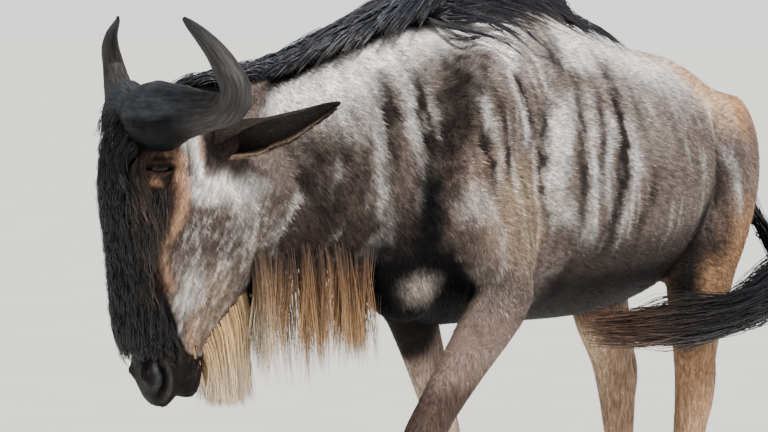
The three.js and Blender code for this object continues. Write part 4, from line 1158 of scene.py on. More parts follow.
def strands_round(guides, each, root_spread, tip_spread, rng, shortest, wave):
    """Locks of so many strands round each guide line, with how far they spread at root and tip.

    The shortest strand has that share of the guide's length, and each sways by up to the wave.
    """
    count, stations = guides.shape[:2]
    ahead = unit(np.gradient(guides, axis=1))
    t = np.linspace(0, 1, stations)
    owner = np.repeat(np.arange(count), each)
    cut = shortest + (1 - shortest) * rng.random(len(owner)) ** 0.7
    at = cut[:, None] * t[None] * (stations - 1)
    i = np.minimum(at.astype(int), stations - 2)
    f = (at - i)[..., None]
    base = guides[owner[:, None], i] * (1 - f) + guides[owner[:, None], i + 1] * f
    way = ahead[owner]
    away = rng.normal(size=(len(owner), 3))
    away = away[:, None] - way * (way * away[:, None]).sum(-1, keepdims=True)
    spread = root_spread + (tip_spread - root_spread) * (t[None] ** 0.7)
    lines = base + away * spread[..., None] * 0.6
    phase = rng.random((len(owner), 1)) * 6.28
    sway = unit(np.cross(way, (0.3, 0.2, 1.0)))
    lines = lines + sway * (wave * np.sin(phase + 7 * t[None]) * t[None])[..., None]
    return lines, owner


def thrown(roots, out, fall, length, turn=0.5, droop=0.0):
    """Guide lines that leave the skin one way and then fall another."""
    t = np.linspace(0, 1, STATIONS)[1:]
    share = ease(0, 1, np.minimum(t / np.maximum(turn, 0.05), 1))[None, :, None]
    ways = unit(out[:, None] * (1 - share) + fall[:, None] * share)
    ways = unit(ways + np.array((0, 0, -1.0)) * (droop * t**1.5)[None, :, None])
    steps = ways * (length[:, None, None] / (STATIONS - 1))
    return np.concatenate([roots[:, None], roots[:, None] + np.cumsum(steps, axis=1)], axis=1)


def combed(roots, length, heights, rng, stray, loft=1.0):
    """Guide lines combed over the skin along the lie of the coat, at the given heights above it."""
    at, facing = on_skin(roots)
    loft = np.broadcast_to(loft, len(roots))[:, None]
    lines = [at + facing * heights[0]]
    wander = rng.normal(size=(len(roots), 3)) * stray
    for height in np.interp(np.linspace(0, 1, STATIONS), np.linspace(0, 1, len(heights)), heights)[1:]:
        way = lie_of_coat(at) + wander
        way = unit(way - facing * (way * facing).sum(-1, keepdims=True))
        at, facing = on_skin(at + way * (length / (STATIONS - 1))[:, None])
        lines.append(at + facing * height * loft)
    return np.stack(lines, axis=1)


def strand_tone(base, count, rng, spread=0.25, tip=None, tip_from=0.6, stations=STATIONS):
    """Strand by strand lightness, with a tip colour where the hair has one."""
    light = np.exp(rng.normal(size=(count, 1)) * spread)
    tone = np.repeat((np.asarray(base) * light)[:, None], stations, axis=1)
    if tip is not None:
        share = ease(tip_from, 1, np.linspace(0, 1, stations))[None, :, None]
        tone = tone * (1 - share) + np.asarray(tip) * light[:, None] * share
    return tone


def bare_parts(points):
    """1 where the coat grows, less on the muzzle, and 0 on the eyes and hoofs."""
    _, down, out = face_measures(points)
    on_head = beside_head(points, down) & (out > -230)
    grown = 1 - on_head * ease(405, 435, down + 0.3 * np.minimum(out, 0)) * (out > -60) * 0.85
    for side in (1, -1):
        along, rise, outward, _ = eye_measures(points, side)
        grown = grown * (1 - (np.hypot(along / 28, rise / 14) < 1) * (outward > 0))
    return grown * (points[:, 2] > 66)


def fine_streaks(points):
    """Light and dark locks, a few millimetres wide and long in the way that the hair lies."""
    back, fore, low, neck = along_coat(points)
    value = drift(back, (5, 24, 4), 71) * (1 - neck) * (1 - low)
    value = value + drift(fore, (5, 24, 4), 72) * neck + drift(points, (4, 4, 22), 73) * low
    local = np.stack(face_measures(points), 1)
    return np.where(head_region(points), drift(local, (4, 20, 3.5), 74), value)


def short_coat(name, where, count, length, width, rise, seed):
    """Short hair over one part of the skin, each hair with the colour of its place."""
    rng = np.random.default_rng(seed)
    roots, facing = scatter(lambda p: where(p) * bare_parts(p), count, rng)
    way = lie_of_coat(roots) + rng.normal(size=roots.shape) * 0.16
    way = unit(way - facing * (way * facing).sum(-1, keepdims=True))
    lift = np.clip(rise + rng.normal(size=count) * 0.08, 0.02, 1)[:, None]
    reach = (length * (0.7 + 0.6 * rng.random(count)))[:, None]
    start = roots - facing * 0.6
    tips = roots + unit(way + facing * lift) * reach
    lines = np.stack((start, tips), axis=1)
    tone = markings(roots) * np.exp(0.9 * fine_streaks(roots))[:, None]
    tone = strand_tone(tone, count, rng, 0.4, stations=2)
    tufts(name, lines, taper(count, 2, width, rng), facing, roots, tone, 0.35, soft=0.8)


def front_half(points):
    return (points[:, 1] <= COAT_PARTING) & (points[:, 2] > LEG_TOP) & ~head_region(points)


def rear_half(points):
    return (points[:, 1] > COAT_PARTING) & (points[:, 2] > LEG_TOP)


def leg_region(points):
    return (points[:, 2] <= LEG_TOP) & ~head_region(points)


short_coat("coat_front", front_half, count=49500, length=13, width=1.05, rise=0.16, seed=11)
short_coat("coat_rear", rear_half, count=47500, length=12, width=1.05, rise=0.14, seed=12)
short_coat("coat_legs", leg_region, count=22000, length=9, width=1.0, rise=0.1, seed=13)
short_coat("coat_head", head_region, count=44000, length=9, width=0.75, rise=0.14, seed=14)

def long_hair(
        name, lines, owner, roots, facing, tone, widest, rng, thickness=0.6, soft=0.0):
    """Strands that grow from the root of the guide line that owns them, and lie as flat as it does."""
    half_width = taper(len(lines), lines.shape[1], widest, rng)
    return tufts(name, lines, half_width, facing[owner], roots[owner], tone, thickness, soft)


def mane_length(t):
    """How long the mane is along the crest, from the poll to the end of the withers."""
    return np.interp(t, np.linspace(0, 1, 10), (80, 105, 125, 140, 150, 150, 150, 160, 165, 110))


def mane():
    """Rooted along the crest and thrown forward over the neck."""
    rng = np.random.default_rng(21)
    count = 580
    t = rng.random(count) * 0.62
    line = along_path(CREST, t)
    toward = unit(along_path(CREST, t + 1e-3) - along_path(CREST, t - 1e-3))
    side = rng.uniform(-1, 1, count)
    side = np.where(side > 0, side * np.interp(t, (0, 0.25, 0.4), (0.45, 0.7, 1)), side)
    roots, facing = on_skin(line + np.stack((side * 34, np.zeros(count), 44 - 16 * side**2), 1))
    length = mane_length(t) * rng.uniform(0.75, 1.15, count)
    out = unit(facing * 0.8 + (0, 0, 0.6) - toward * 0.35)
    lean = side * 0.35 - np.interp(t, (0, 0.3), (0.35, 0.15))
    fall = unit(-toward + np.stack((lean, np.zeros(count), rng.uniform(-0.35, 0.0, count)), 1))
    guides = thrown(roots, out, fall, length, turn=0.62, droop=0.25)
    lines, owner = strands_round(guides, 9, 9, 3, rng, shortest=0.7, wave=2.5)
    tone = strand_tone(dye("2c2e37"), len(lines), rng, 0.5, dye("3d3632"), 0.7)
    long_hair("mane", lines, owner, roots, facing, tone, 1.3, rng)


def mane_over_shoulders():
    """Thrown back and to both sides over the shoulders."""
    rng = np.random.default_rng(22)
    count = 270
    t = 0.45 + rng.random(count) ** 0.8 * 0.55
    line = along_path(CREST, t)
    side = rng.uniform(-1, 1, count)
    height = np.where(rng.random(count) < 0.6, 6, 44) - 12 * side**2
    roots, facing = on_skin(line + np.stack((side * 30, np.zeros(count), height), 1))
    length = mane_length(t) * rng.uniform(0.8, 1.6, count)
    guides = combed(roots, length * 1.35, (0, 20, 24, 18, 6), rng, stray=0.24)
    lines, owner = strands_round(guides, 8, 8, 2.5, rng, shortest=0.7, wave=2)
    tone = strand_tone(dye("2a2a31"), len(lines), rng, 0.5, dye("3a322d"), 0.7)
    long_hair("mane_rear", lines, owner, roots, facing, tone, 1.1, rng)


def throat_fringe():
    """A fringe down the throat, dark where it grows and palest near the chin."""
    rng = np.random.default_rng(23)
    count = 360
    t = 0.05 + 0.9 * rng.random(count) ** 1.2
    sideways = rng.normal(size=count) * 14
    height = rng.uniform(0, 1, count) ** 1.6 * mix(34, 84, ease(0.1, 0.4, t))
    roots, facing = on_skin(along_path(THROAT, t) + np.stack((sideways, np.zeros(count), height), 1))
    lobe = 1 + 0.13 * drift(roots, 26, 61)
    length = np.interp(t, np.linspace(0, 1, 6), (225, 235, 225, 190, 205, 160))
    length = length * rng.uniform(0.72, 1.06, count) * lobe * (1 + 0.12 * drift(roots, 9, 62))
    length = length + (roots[:, 2] - 815) * 0.6
    out = unit(facing * 0.3 + (0, 0.05, -1) + rng.normal(size=(count, 3)) * 0.12)
    fall = unit(np.array((0, 0.03, -1)) + rng.normal(size=(count, 3)) * 0.085)
    guides = thrown(roots, out, fall, length, turn=0.5)
    lines, owner = strands_round(guides, 9, 9, 5, rng, shortest=0.55, wave=7)
    pale = 0.8 * (1 - ease(0.12, 0.4, t))[owner][:, None, None]
    tone = strand_tone(dye("7a5a3f"), len(lines), rng, 0.5, dye("ad8b64"), 0.35)
    tone = tone * (1 - pale) + strand_tone(dye("8f7257"), len(lines), rng, 0.4, dye("e6d8bf"), 0.5) * pale
    near_root = 1 - ease(0.02, 0.42, np.linspace(0, 1, STATIONS))
    tone = mix(tone, dye("463a33"), near_root[None, :, None] * 0.95)
    facing = unit(facing * (1, 1, 0.1) + (0, -0.15, 0))
    long_hair("throat_fringe", lines, owner, roots, facing, tone, 0.52, rng, soft=0.5)


def beard():
    """Pale locks under the jaw, drawn down to a blunt tip in front of the throat."""
    rng = np.random.default_rng(24)
    count = 240
    down = rng.uniform(330, 432, count)
    across = rng.normal(size=count) * 15
    out = -np.interp(down, (330, 380, 432), (150, 100, 62)) + rng.uniform(-8, 30, count)
    roots, facing = on_skin(face(across, down, out))
    down = face_measures(roots)[1]
    tip_across = rng.normal(size=count) * 14
    tip_down = np.full(count, 546.0) + rng.uniform(-14, 12, count)
    tip_out = np.interp(down, (330, 432), (-152, -74)) + rng.normal(size=count) * 5
    end = face(tip_across, tip_down, tip_out)
    length = np.linalg.norm(end - roots, axis=1)
    guides = thrown(roots, unit(facing * 0.5 + face_way(0, 1, -0.2)), unit(end - roots), length, turn=0.45)
    guides += (end - guides[:, -1])[:, None] * (np.linspace(0, 1, STATIONS) ** 1.2)[None, :, None]
    lines, owner = strands_round(guides, 11, 7, 5, rng, shortest=0.88, wave=5)
    tone = strand_tone(dye("dcb98d"), len(lines), rng, 0.25, dye("fbe9cc"), 0.3)
    own_side = np.sign(face_measures(roots)[0] + 6)[:, None]
    facing = unit(facing + face_way(0.9, 0, 0.2) * own_side * 1.5)
    long_hair("beard", lines, owner, roots, facing, tone, 0.72, rng, soft=0.5)


def front_of_face(points):
    """1 where the long hair of the face grows, and 0 round the eyes and outside it."""
    across, down, out = face_measures(points)
    side = np.abs(across)
    near_eye = patch(np.stack((side, down, out), 1), (84, 82, 70), (34, 36, 42), 0.2)
    grown = (down > -40) & (down < 412) & (side < 110) & (points[:, 1] < HEAD_BACK)
    grown = grown & (out > face_edge(down) + np.where(down > 60, 12, 2)) & ~((side > 52) & (down < 60))
    return grown * (1 - near_eye)


def face_brush():
    """Long dark hair combed down the front of the face, brown beside the eyes."""
    rng = np.random.default_rng(25)
    count = 1120
    roots, facing = scatter(front_of_face, count, rng)
    across, down, _ = face_measures(roots)
    middle = 1 - ease(30, 72, np.abs(across))
    length = rng.uniform(60, 115, count) * np.interp(down, (0, 330, 400), (1, 0.9, 0.5))
    loft = (0.22 + 0.8 * middle) * np.interp(down, (0, 260, 400), (1, 0.9, 0.6))
    guides = combed(roots, length, (0, 22, 36, 34, 18), rng, stray=0.13, loft=loft)
    lines, owner = strands_round(guides, 5, 6, 3, rng, shortest=0.7, wave=6)
    brown = ease(34, 62, np.abs(across)) * ease(30, 80, down) * (1 - ease(230, 330, down))
    brown = (brown * (0.6 + 0.6 * drift(roots, 30, 51)))[owner][:, None, None]
    tone = strand_tone(dye("08090c"), len(lines), rng, 0.75, dye("1f1814"), 0.6)
    tone = tone * (1 - brown) + strand_tone(dye("54423a"), len(lines), rng, 0.5, dye("7d6454"), 0.5) * brown
    long_hair("face_brush", lines, owner, roots, facing, tone, 1.0, rng, thickness=0.55, soft=0.3)


def forelock():
    """Hair that fills the parting of the horns and stands out beside it."""
    rng = np.random.default_rng(27)
    count = 220
    across = rng.uniform(-56, 14, count)
    down = rng.uniform(-34, 40, count)
    out = np.interp(across, (-56, -20, 14), (112, 104, 92)) - rng.uniform(0, 14, count)
    roots = face(across, down, out)
    fall = unit(face_way(0, 1, 0.1) + rng.normal(size=(count, 3)) * 0.25)
    out = unit(face_way(-0.25, 0.1, 1) + rng.normal(size=(count, 3)) * 0.3)
    guides = thrown(roots, out, fall, rng.uniform(40, 78, count), turn=0.7)
    lines, owner = strands_round(guides, 5, 5, 4, rng, shortest=0.6, wave=4)
    tone = strand_tone(dye("121217"), len(lines), rng, 0.5, dye("2b231f"), 0.6)
    facing = unit(np.tile(face_way(0, 0, 1), (count, 1)))
    long_hair("forelock", lines, owner, roots, facing, tone, 0.9, rng, thickness=0.55, soft=0.3)


def tail():
    """Hair along the dock and a long tuft that swings forward beside the leg."""
    rng = np.random.default_rng(26)
    count = 250
    t = rng.random(count) ** 1.1 * 0.58
    roots = along_path(TAIL_LINE, t) + rng.normal(size=(count, 3)) * 8
    reach = np.minimum(1.0, t + rng.uniform(0.3, 0.62, count))
    steps = np.linspace(0, 1, TAIL_STATIONS)[None]
    course = t[:, None] + (reach - t)[:, None] * steps
    guides = along_path(TAIL_LINE, course)
    swell = np.sin(np.pi * np.clip(steps * 0.8, 0, 1)) * 24 * rng.uniform(0.2, 1.2, count)[:, None]
    swell = swell * np.interp(course, (0.15, 0.4, 0.65, 1), (0.5, 2.0, 1.3, 0.9))
    turned = rng.uniform(0, 2 * math.pi, count)[:, None]
    guides[..., 0] += np.cos(turned) * swell * 0.2
    guides[..., 2] += np.sin(turned) * swell * 1.3
    guides[:, 0] = roots
    wave = np.sin(course * 15 + rng.random((count, 1)) * 6.28) * course
    guides[..., 2] += wave * (rng.normal(size=count) * 9)[:, None]
    lines, owner = strands_round(guides, 11, 6, 12, rng, shortest=0.55, wave=10)
    facing = np.tile((1.0, 0, 0.2), (count, 1))
    tone = strand_tone(dye("111217"), len(lines), rng, 0.5, stations=TAIL_STATIONS)
    brown = strand_tone(dye("5c4334"), len(lines), rng, 0.4, stations=TAIL_STATIONS)
    tone = mix(tone, brown, ease(0.7, 1.0, course[owner])[..., None])
    return long_hair("tail_tuft", lines, owner, roots, facing, tone, 1.2, rng)


mane()
mane_over_shoulders()
throat_fringe()
beard()
face_brush()
forelock()
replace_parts(tail(), "tail")


# Horns, ears, eyes and hoofs


# Middles of each horn across the face, down and out, then its half thickness in depth, below and above
HORN_LEFT = (
    (-12, -8, 80, 42, 48, 60), (50, -4, 77, 47, 54, 76), (100, -4, 64, 45, 52, 80),
    (150, -12, 44, 39, 33, 69), (205, -26, 22, 35, 28, 48), (254, -43, 5, 34, 29, 35),
    (277, -74, 1, 31, 30, 30), (265, -110, 11, 26.5, 26.5, 26.5), (245, -144, 26, 21.5, 21.5, 21.5),
    (216, -173, 42, 16, 16, 16),
    (184, -194, 54, 10, 10, 10), (168, -204, 60, 5, 5, 5),
)
HORN_RIGHT = (
    (12, -8, 80, 42, 48, 60), (-50, -4, 77, 47, 54, 72), (-100, -4, 64, 45, 52, 66),
    (-150, -14, 46, 37, 41, 50), (-205, -32, 30, 32, 34, 34), (-254, -54, 18, 27, 27, 27),
    (-278, -86, 16, 22, 22, 22), (-270, -118, 26, 18.5, 18.5, 18.5), (-246, -146, 34, 13, 13, 13),
    (-218, -166, 38, 8.5, 8.5, 8.5), (-192, -178, 44, 5.5, 5.5, 5.5), (-176, -186, 50, 3, 3, 3),
)
HORN_SIDES = 72


def drift_on(rings, scale, seed):
    """Soft random values over the points of a set of cross-sections."""
    return drift(rings.reshape(-1, 3), scale, seed).reshape(rings.shape[:2])


def horn(name, rows, side):
    """A horn with a rough, heavy boss that smooths out towards a curved tip."""
    knots = [knot(across, -out, -down, deep, below, above) for across, down, out, deep, below, above in rows]
    rings = rings_of(knots, (0, side, 0), 170, HORN_SIDES, 0.8)
    centres = rings.mean(1)
    steps = np.linalg.norm(np.diff(centres, axis=0), axis=1)
    reach = np.concatenate([[0], np.cumsum(steps)])
    away = rings - centres[:, None]
    angle = np.linspace(0, 2 * math.pi, HORN_SIDES, endpoint=False)
    share = reach / reach[-1]
    boss = (1 - ease(0.16, 0.42, share))[:, None]
    bend = np.exp(-(((share - 0.42) / 0.2) ** 2))[:, None]
    flat = rings.reshape(-1, 3)
    lumps = drift_on(rings, 26, 81 + side) * 1.8 + drift_on(rings, 9, 83) * 0.7
    around = np.stack(np.broadcast_arrays(np.cos(angle)[None], np.sin(angle)[None], reach[:, None]), -1)
    grain = drift_on(around * (9, 9, 1 / 42), 1, 85)
    wrinkles = np.sin(reach[:, None] / 4.4 + 1.1 * np.sin(angle + 1)[None] + 1.6 * drift_on(rings, 30, 87))
    swell = boss * lumps + 0.55 * grain * (0.4 + 0.6 * boss) + 0.55 * wrinkles * bend
    start = 0.9 + 0.1 * ease(0, 40, np.abs(centres[:, 0]))
    size = np.linalg.norm(away, axis=2)
    rings = centres[:, None] + away * (start[:, None] * (1 + swell / np.maximum(size, 14)))[..., None]
    rings = POLL + rings @ HEAD.T
    obj = tube(f"{name}_sheath", rings)
    along = np.append(np.repeat(share, HORN_SIDES), share[[0, -1]])
    above = (away / np.maximum(size, 1e-6)[..., None])[..., 2].reshape(-1)
    above = np.append(above, (0, 0))
    shaft = ease(0.3, 0.5, along)
    blotch = drift(np.append(flat, centres[[0, -1]], axis=0), (30, 30, 12), 88)
    # Painted light and shade: the boss is pale on top and near black below, and the shaft is painted as if
    # mostly lit
    lit = mix(ease(-0.1, 0.2, above + 0.1 * blotch), 0.8, shaft)
    tone = mix(dye("04060a"), dye("37383b"), lit[:, None])
    tone = mix(tone, dye("3d3a37"), (shaft * (1 - ease(0.75, 1, along)))[:, None] * 0.7)
    paint_points(obj, "tone", tone)
    around = (around * (0.03, 0.03, 0.00012)).reshape(-1, 3)
    mark_places(obj, "grain", np.append(around, around[[0, -1]], axis=0))
    select_only(obj)
    bpy.ops.object.mode_set(mode="EDIT")
    bpy.ops.mesh.select_all(action="SELECT")
    bpy.ops.mesh.bisect(
        plane_co=in_frame(face(side * 3.2, 0, 0)), plane_no=HEAD @ (side, 0, 0),
        use_fill=True, clear_inner=True)
    bpy.ops.object.mode_set(mode="OBJECT")
    obj.data.shade_smooth()
    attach(obj, "root")
    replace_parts(obj, name)


def ear_line(side, t):
    """The middle of an ear, from its root at 0 to its tip at 1."""
    rows = [(side * 84, 44, -28), (side * 152, 134, -14), (side * 222, 236, 48)]
    return along_path(rows, t)


def ear(name, side):
    """A long leaf of skin rolled into a cup, with a thin uneven rim."""
    count, arc = 54, 30
    t = np.linspace(0, 1, count)
    centre = ear_line(side, t)
    ahead = unit(ear_line(side, t + 1e-3) - ear_line(side, t - 1e-3))
    opening = unit(np.array((side * 0.72, -0.25, -0.64)))
    out = unit(opening - ahead * (ahead @ opening)[:, None])
    wing = unit(np.cross(ahead, out))
    radius = 4 + 33 * np.sin(math.pi * (0.16 + 0.84 * t) ** 0.8) ** 0.9
    spread = mix(2.75, 1.5, np.minimum(1, t * 2.2))
    wall = mix(5, 1.8, t)
    angle = np.linspace(-1, 1, arc)
    rows = []
    for inner in (0, 1):
        r = radius - wall * inner
        a = spread[:, None] * angle[None] * (0.97 if inner else 1)
        wave = 1 + 0.03 * np.sin(9 * t[:, None] + 2 * a)
        wave = wave + 0.02 * np.sin(23 * t[:, None]) * np.abs(angle)[None]
        shell = centre[:, None] - out[:, None] * (r[:, None] * wave * np.cos(a))[..., None]
        shell = shell - wing[:, None] * (r[:, None] * wave * np.sin(a))[..., None]
        rows.append(shell if inner == 0 else shell[:, ::-1])
    rings = POLL + np.concatenate(rows, axis=1) @ HEAD.T
    obj = tube(f"{name}_skin", rings)
    apply_modifier(obj, "SMOOTH", factor=0.4, iterations=2)
    obj.data.shade_smooth()
    sides = 2 * arc
    k = np.arange(sides)
    inside = np.where(k >= arc, 1.0, 0.0)
    edge = np.abs(np.concatenate([angle, angle[::-1]]))
    low = np.concatenate([angle, angle[::-1]]) * side

    def on_every_point(values):
        flat = np.broadcast_to(values, (count, sides)).reshape(-1)
        return np.append(flat, flat[[0, -1]])

    inside, edge, low, place = [on_every_point(values) for values in (inside, edge, low, t[:, None])]
    tone = mix(dye("2a2421"), dye("1f1b19"), (inside * (1 - 0.5 * ease(0.75, 1, edge)))[:, None])
    lower = ease(0.86, 0.98, -low) * (1 - 0.4 * place)
    tone = mix(tone, dye("b79a80"), (lower * mix(0.9, 0.55, inside))[:, None])
    tone = mix(tone, dye("191514"), (0.8 * ease(0.72, 1, place))[:, None])
    paint_points(obj, "tone", tone)
    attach(obj, "root")
    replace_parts(obj, name)
    return rings, tone[:-2].reshape(count, sides, 3)


def ear_fur(name, rings, tone, seed):
    """Fine hair laid along an ear, longer and paler on its lower edge."""
    rng = np.random.default_rng(seed)
    rows, sides = rings.shape[:2]
    count = 5200
    i, j = rng.integers(1, rows - 4, count), rng.integers(0, sides, count)
    rim = rng.random(count) < 0.2
    arc = sides // 2
    j = np.where(rim, np.where(rng.random(count) < 0.5, 0, arc - 1), j)
    f, g = rng.random((2, count, 1))
    k = (j + 1) % sides
    at = (rings[i, j] * (1 - f) + rings[i + 1, j] * f) * (1 - g)
    at = at + (rings[i, k] * (1 - f) + rings[i + 1, k] * f) * g
    ahead = unit(rings[i + 2, j] - rings[i, j])
    facing = unit(np.cross(ahead, rings[i, k] - rings[i, j]))
    middle = rings[i].mean(1)
    facing *= (np.sign((facing * (at - middle)).sum(1)) * np.where(j >= arc, -1, 1))[:, None]
    edge = unit(at - rings[i, arc // 2]) * rim[:, None]
    length = (rng.uniform(6, 11, count) + 5 * rim)[:, None]
    lines = np.stack((at - facing * 0.4, at + unit(ahead + facing * 0.14 + edge * 0.35) * length), 1)
    light = np.where(rng.random(count) < 0.25, 3.2, 1.3) * np.exp(0.5 * drift(at, (6, 6, 6), 95))
    shade = strand_tone(tone[i, j] * light[:, None], count, rng, 0.4, stations=2)
    tufts(name, lines, taper(count, 2, 0.7, rng), facing, at, shade, 0.35, 0.7)


ears = {side: ear(name, side) for name, side in (("ear_left", 1), ("ear_right", -1))}
ear_fur("ear_fur_left", *ears[1], 31)
ear_fur("ear_fur_right", *ears[-1], 32)
horn("horn_left", HORN_LEFT, 1)
horn("horn_right", HORN_RIGHT, -1)


def eye(name, side):
    """A dark ball with a wide brown iris and a level pupil, turned out through the lids."""
    bpy.ops.object.select_all(action="DESELECT")
    across, down, forward = EYE_PLACE
    bpy.ops.mesh.primitive_uv_sphere_add(
        segments=64, ring_count=48, radius=EYEBALL_RADIUS / 1000,
        location=in_frame(face(side * across, down, forward)))
    obj = bpy.context.active_object
    bpy.ops.object.transform_apply(location=True, rotation=True, scale=True)
    points = points_of(obj)
    along, across, outward, out = eye_measures(points, side)
    middle = np.hypot(along, across)
    bulge = 1.6 * (1 - ease(6, 13.5, middle)) * (outward > 0)
    move_to(obj, points + out * bulge[:, None])
    tone = np.tile(dye("20130d"), (len(points), 1))
    tone = mix(tone, dye("2c1a10"), (1 - ease(11.5, 13, middle))[:, None])
    tone = mix(tone, dye("030303"), (1 - ease(0.85, 1.1, np.hypot(along / 7.5, across / 3.6)))[:, None])
    paint_points(obj, "tone", tone)
    obj.name = name
    obj.data.name = name
    obj.data.shade_smooth()
    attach(obj, "root")
    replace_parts(obj, name.replace("eyeball", "eye"))


eye("eyeball_left", 1)
eye("eyeball_right", -1)


def hoof_half(name, at, tip, side):
    """One claw of a hoof, ringed by growth, cut flat where it meets the leg and the floor."""
    rows = [
        leg_knot(side * 17.5, 2, 10, 13.6, 30, 28), leg_knot(side * 18, -3, -16, 15, 37, 31),
        leg_knot(side * 18.5, -8, -44, 16, 44, 35), leg_knot(side * 19, -10, -62, 16.4, 46.5, 36.5),
    ]
    rows = [row[:8] + (2.5,) for row in rows]
    rings = rings_of(rows, X_WAY, 60, 56)
    centres = rings.mean(1, keepdims=True)
    level = np.linspace(0, 1, len(rings))[:, None]
    growth = 0.006 * np.sin(level * 46 + 0.8 * drift_on(rings, 20, 91)) + 0.008 * drift_on(rings, 12, 92)
    rings = centres + (rings - centres) * (1 + growth)[..., None]
    turn = foot_turn(tip)
    obj = tube(name, rings @ turn.T + at)
    select_only(obj)
    bpy.ops.object.mode_set(mode="EDIT")
    leg_end = (in_frame(np.array(at) + turn @ (0, 0, 1.2)), turn @ (0, 0, 1))
    ground = ((0, 0, 0), (0, 0, -1))
    for place, way in (leg_end, ground):
        bpy.ops.mesh.select_all(action="SELECT")
        bpy.ops.mesh.bisect(plane_co=place, plane_no=way, use_fill=True, clear_outer=True)
    bpy.ops.object.mode_set(mode="OBJECT")
    bpy.ops.object.shade_smooth_by_angle(angle=math.radians(50))
    return obj


def spur(name, at, tip, side):
    """One of the two small claws behind the pastern, narrow at its tip."""
    turn = foot_turn(tip)
    place = np.array(at) + turn @ (side * 15, 31, 62)
    obj = muscle(name, place, (8.5, 11, 15), (math.radians(tip - 24), 0, 0))
    local = (points_of(obj) - place) @ turn
    local[:, :2] *= (1 - 0.35 * ease(-4, -15, local[:, 2]))[:, None]
    move_to(obj, local @ turn.T + place)
    obj.data.shade_smooth()
    return obj


LEG_NAMES = ("foreleg_left", "foreleg_right", "hindleg_left", "hindleg_right")
hoofs = []
for leg_name, (at, tip) in zip(LEG_NAMES, FEET):
    for part, way in (("outer", 1), ("inner", -1)):
        claw = hoof_half(f"{leg_name}_hoof_{part}", at, tip, way if at[0] > 0 else -way)
        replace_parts(claw, f"{leg_name}_claw_{part}")
        hoofs.append(claw)
    for part, side in (("left", 1), ("right", -1)):
        hoofs.append(spur(f"{leg_name}_spur_{part}", at, tip, side))
for piece in hoofs:
    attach(piece, "root")


# Materials


class Group:
    """A shared group of shader nodes, with its inputs and outputs by name."""

    def __init__(self, name, inputs, outputs):
        self.tree = bpy.data.node_groups.new(name, "ShaderNodeTree")
        for way, rows in (("INPUT", inputs), ("OUTPUT", outputs)):
            for label, socket in rows.items():
                self.tree.interface.new_socket(label, in_out=way, socket_type="NodeSocket" + socket)
        self.source = self.tree.nodes.new("NodeGroupInput")
        self.result = self.tree.nodes.new("NodeGroupOutput")

    def node(self, kind, **values):
        """A new shader node in the group."""
        return add_node(self.tree, kind, **values)

    def join(self, start, end):
        self.tree.links.new(start, end)


def add_node(tree, kind, **values):
    """A shader node with these values on its inputs, or else on its settings."""
    node = tree.nodes.new("ShaderNode" + kind)
    for key, value in values.items():
        if key in node.inputs:
            node.inputs[key].default_value = value
        else:
            setattr(node, key, value)
    return node


def shade_steps(node, *steps):
    """Sets the colours of a ramp at the given places."""
    ramp = node.color_ramp
    while len(ramp.elements) < len(steps):
        ramp.elements.new(0.5)
    for element, (place, value) in zip(ramp.elements, steps):
        element.position = place
        element.color = (value, value, value, 1)


# Light and dark between hairs, for coat, hair, ears and bare skin
shades = Group(
    "hair_shades", {"Tone": "Color", "Place": "Vector", "Depth": "Float"},
    {"Color": "Color", "Height": "Float"})
wide = shades.node("TexNoise", Scale=1.0, Detail=3.0, Roughness=0.6)
shades.join(shades.source.outputs["Place"], wide.inputs["Vector"])
levels = shades.node("ValToRGB")
shade_steps(levels, (0.34, 0.4), (0.5, 0.9), (0.66, 1.7))
shades.join(wide.outputs["Fac"], levels.inputs["Fac"])
toned = shades.node("Mix", data_type="RGBA", blend_type="MULTIPLY")
shades.join(shades.source.outputs["Depth"], toned.inputs["Factor"])
shades.join(shades.source.outputs["Tone"], toned.inputs["A"])
shades.join(levels.outputs["Color"], toned.inputs["B"])
shades.join(toned.outputs["Result"], shades.result.inputs["Color"])
shades.join(wide.outputs["Fac"], shades.result.inputs["Height"])

# Fine pores and creases, for skin, horn and hoof
pores = Group(
    "pores", {"Place": "Vector", "Size": "Float", "Strength": "Float", "Height": "Float"},
    {"Normal": "Vector"})
cells = pores.node("TexVoronoi", feature="DISTANCE_TO_EDGE")
pores.join(pores.source.outputs["Place"], cells.inputs["Vector"])
pores.join(pores.source.outputs["Size"], cells.inputs["Scale"])
creases = pores.node("MapRange")
creases.inputs["From Max"].default_value = 0.18
pores.join(cells.outputs["Distance"], creases.inputs["Value"])
total = pores.node("Math", operation="MULTIPLY_ADD")
total.inputs[1].default_value = 0.35
pores.join(creases.outputs["Result"], total.inputs[0])
pores.join(pores.source.outputs["Height"], total.inputs[2])
raised = pores.node("Bump", Distance=0.002)
pores.join(pores.source.outputs["Strength"], raised.inputs["Strength"])
pores.join(total.outputs["Value"], raised.inputs["Height"])
pores.join(raised.outputs["Normal"], pores.result.inputs["Normal"])


def surface(name, roughness, gloss):
    """A new material with its finish on the shader, and the tree and shader to build on."""
    material = bpy.data.materials.new(name)
    material.use_nodes = True
    shader = material.node_tree.nodes["Principled BSDF"]
    shader.inputs["Roughness"].default_value = roughness
    shader.inputs["Specular IOR Level"].default_value = gloss
    return material, material.node_tree, shader


def use_group(tree, group, **values):
    """A shared group placed in a material, with its own values."""
    node = tree.nodes.new("ShaderNodeGroup")
    node.node_tree = group.tree
    for key, value in values.items():
        node.inputs[key].default_value = value
    return node


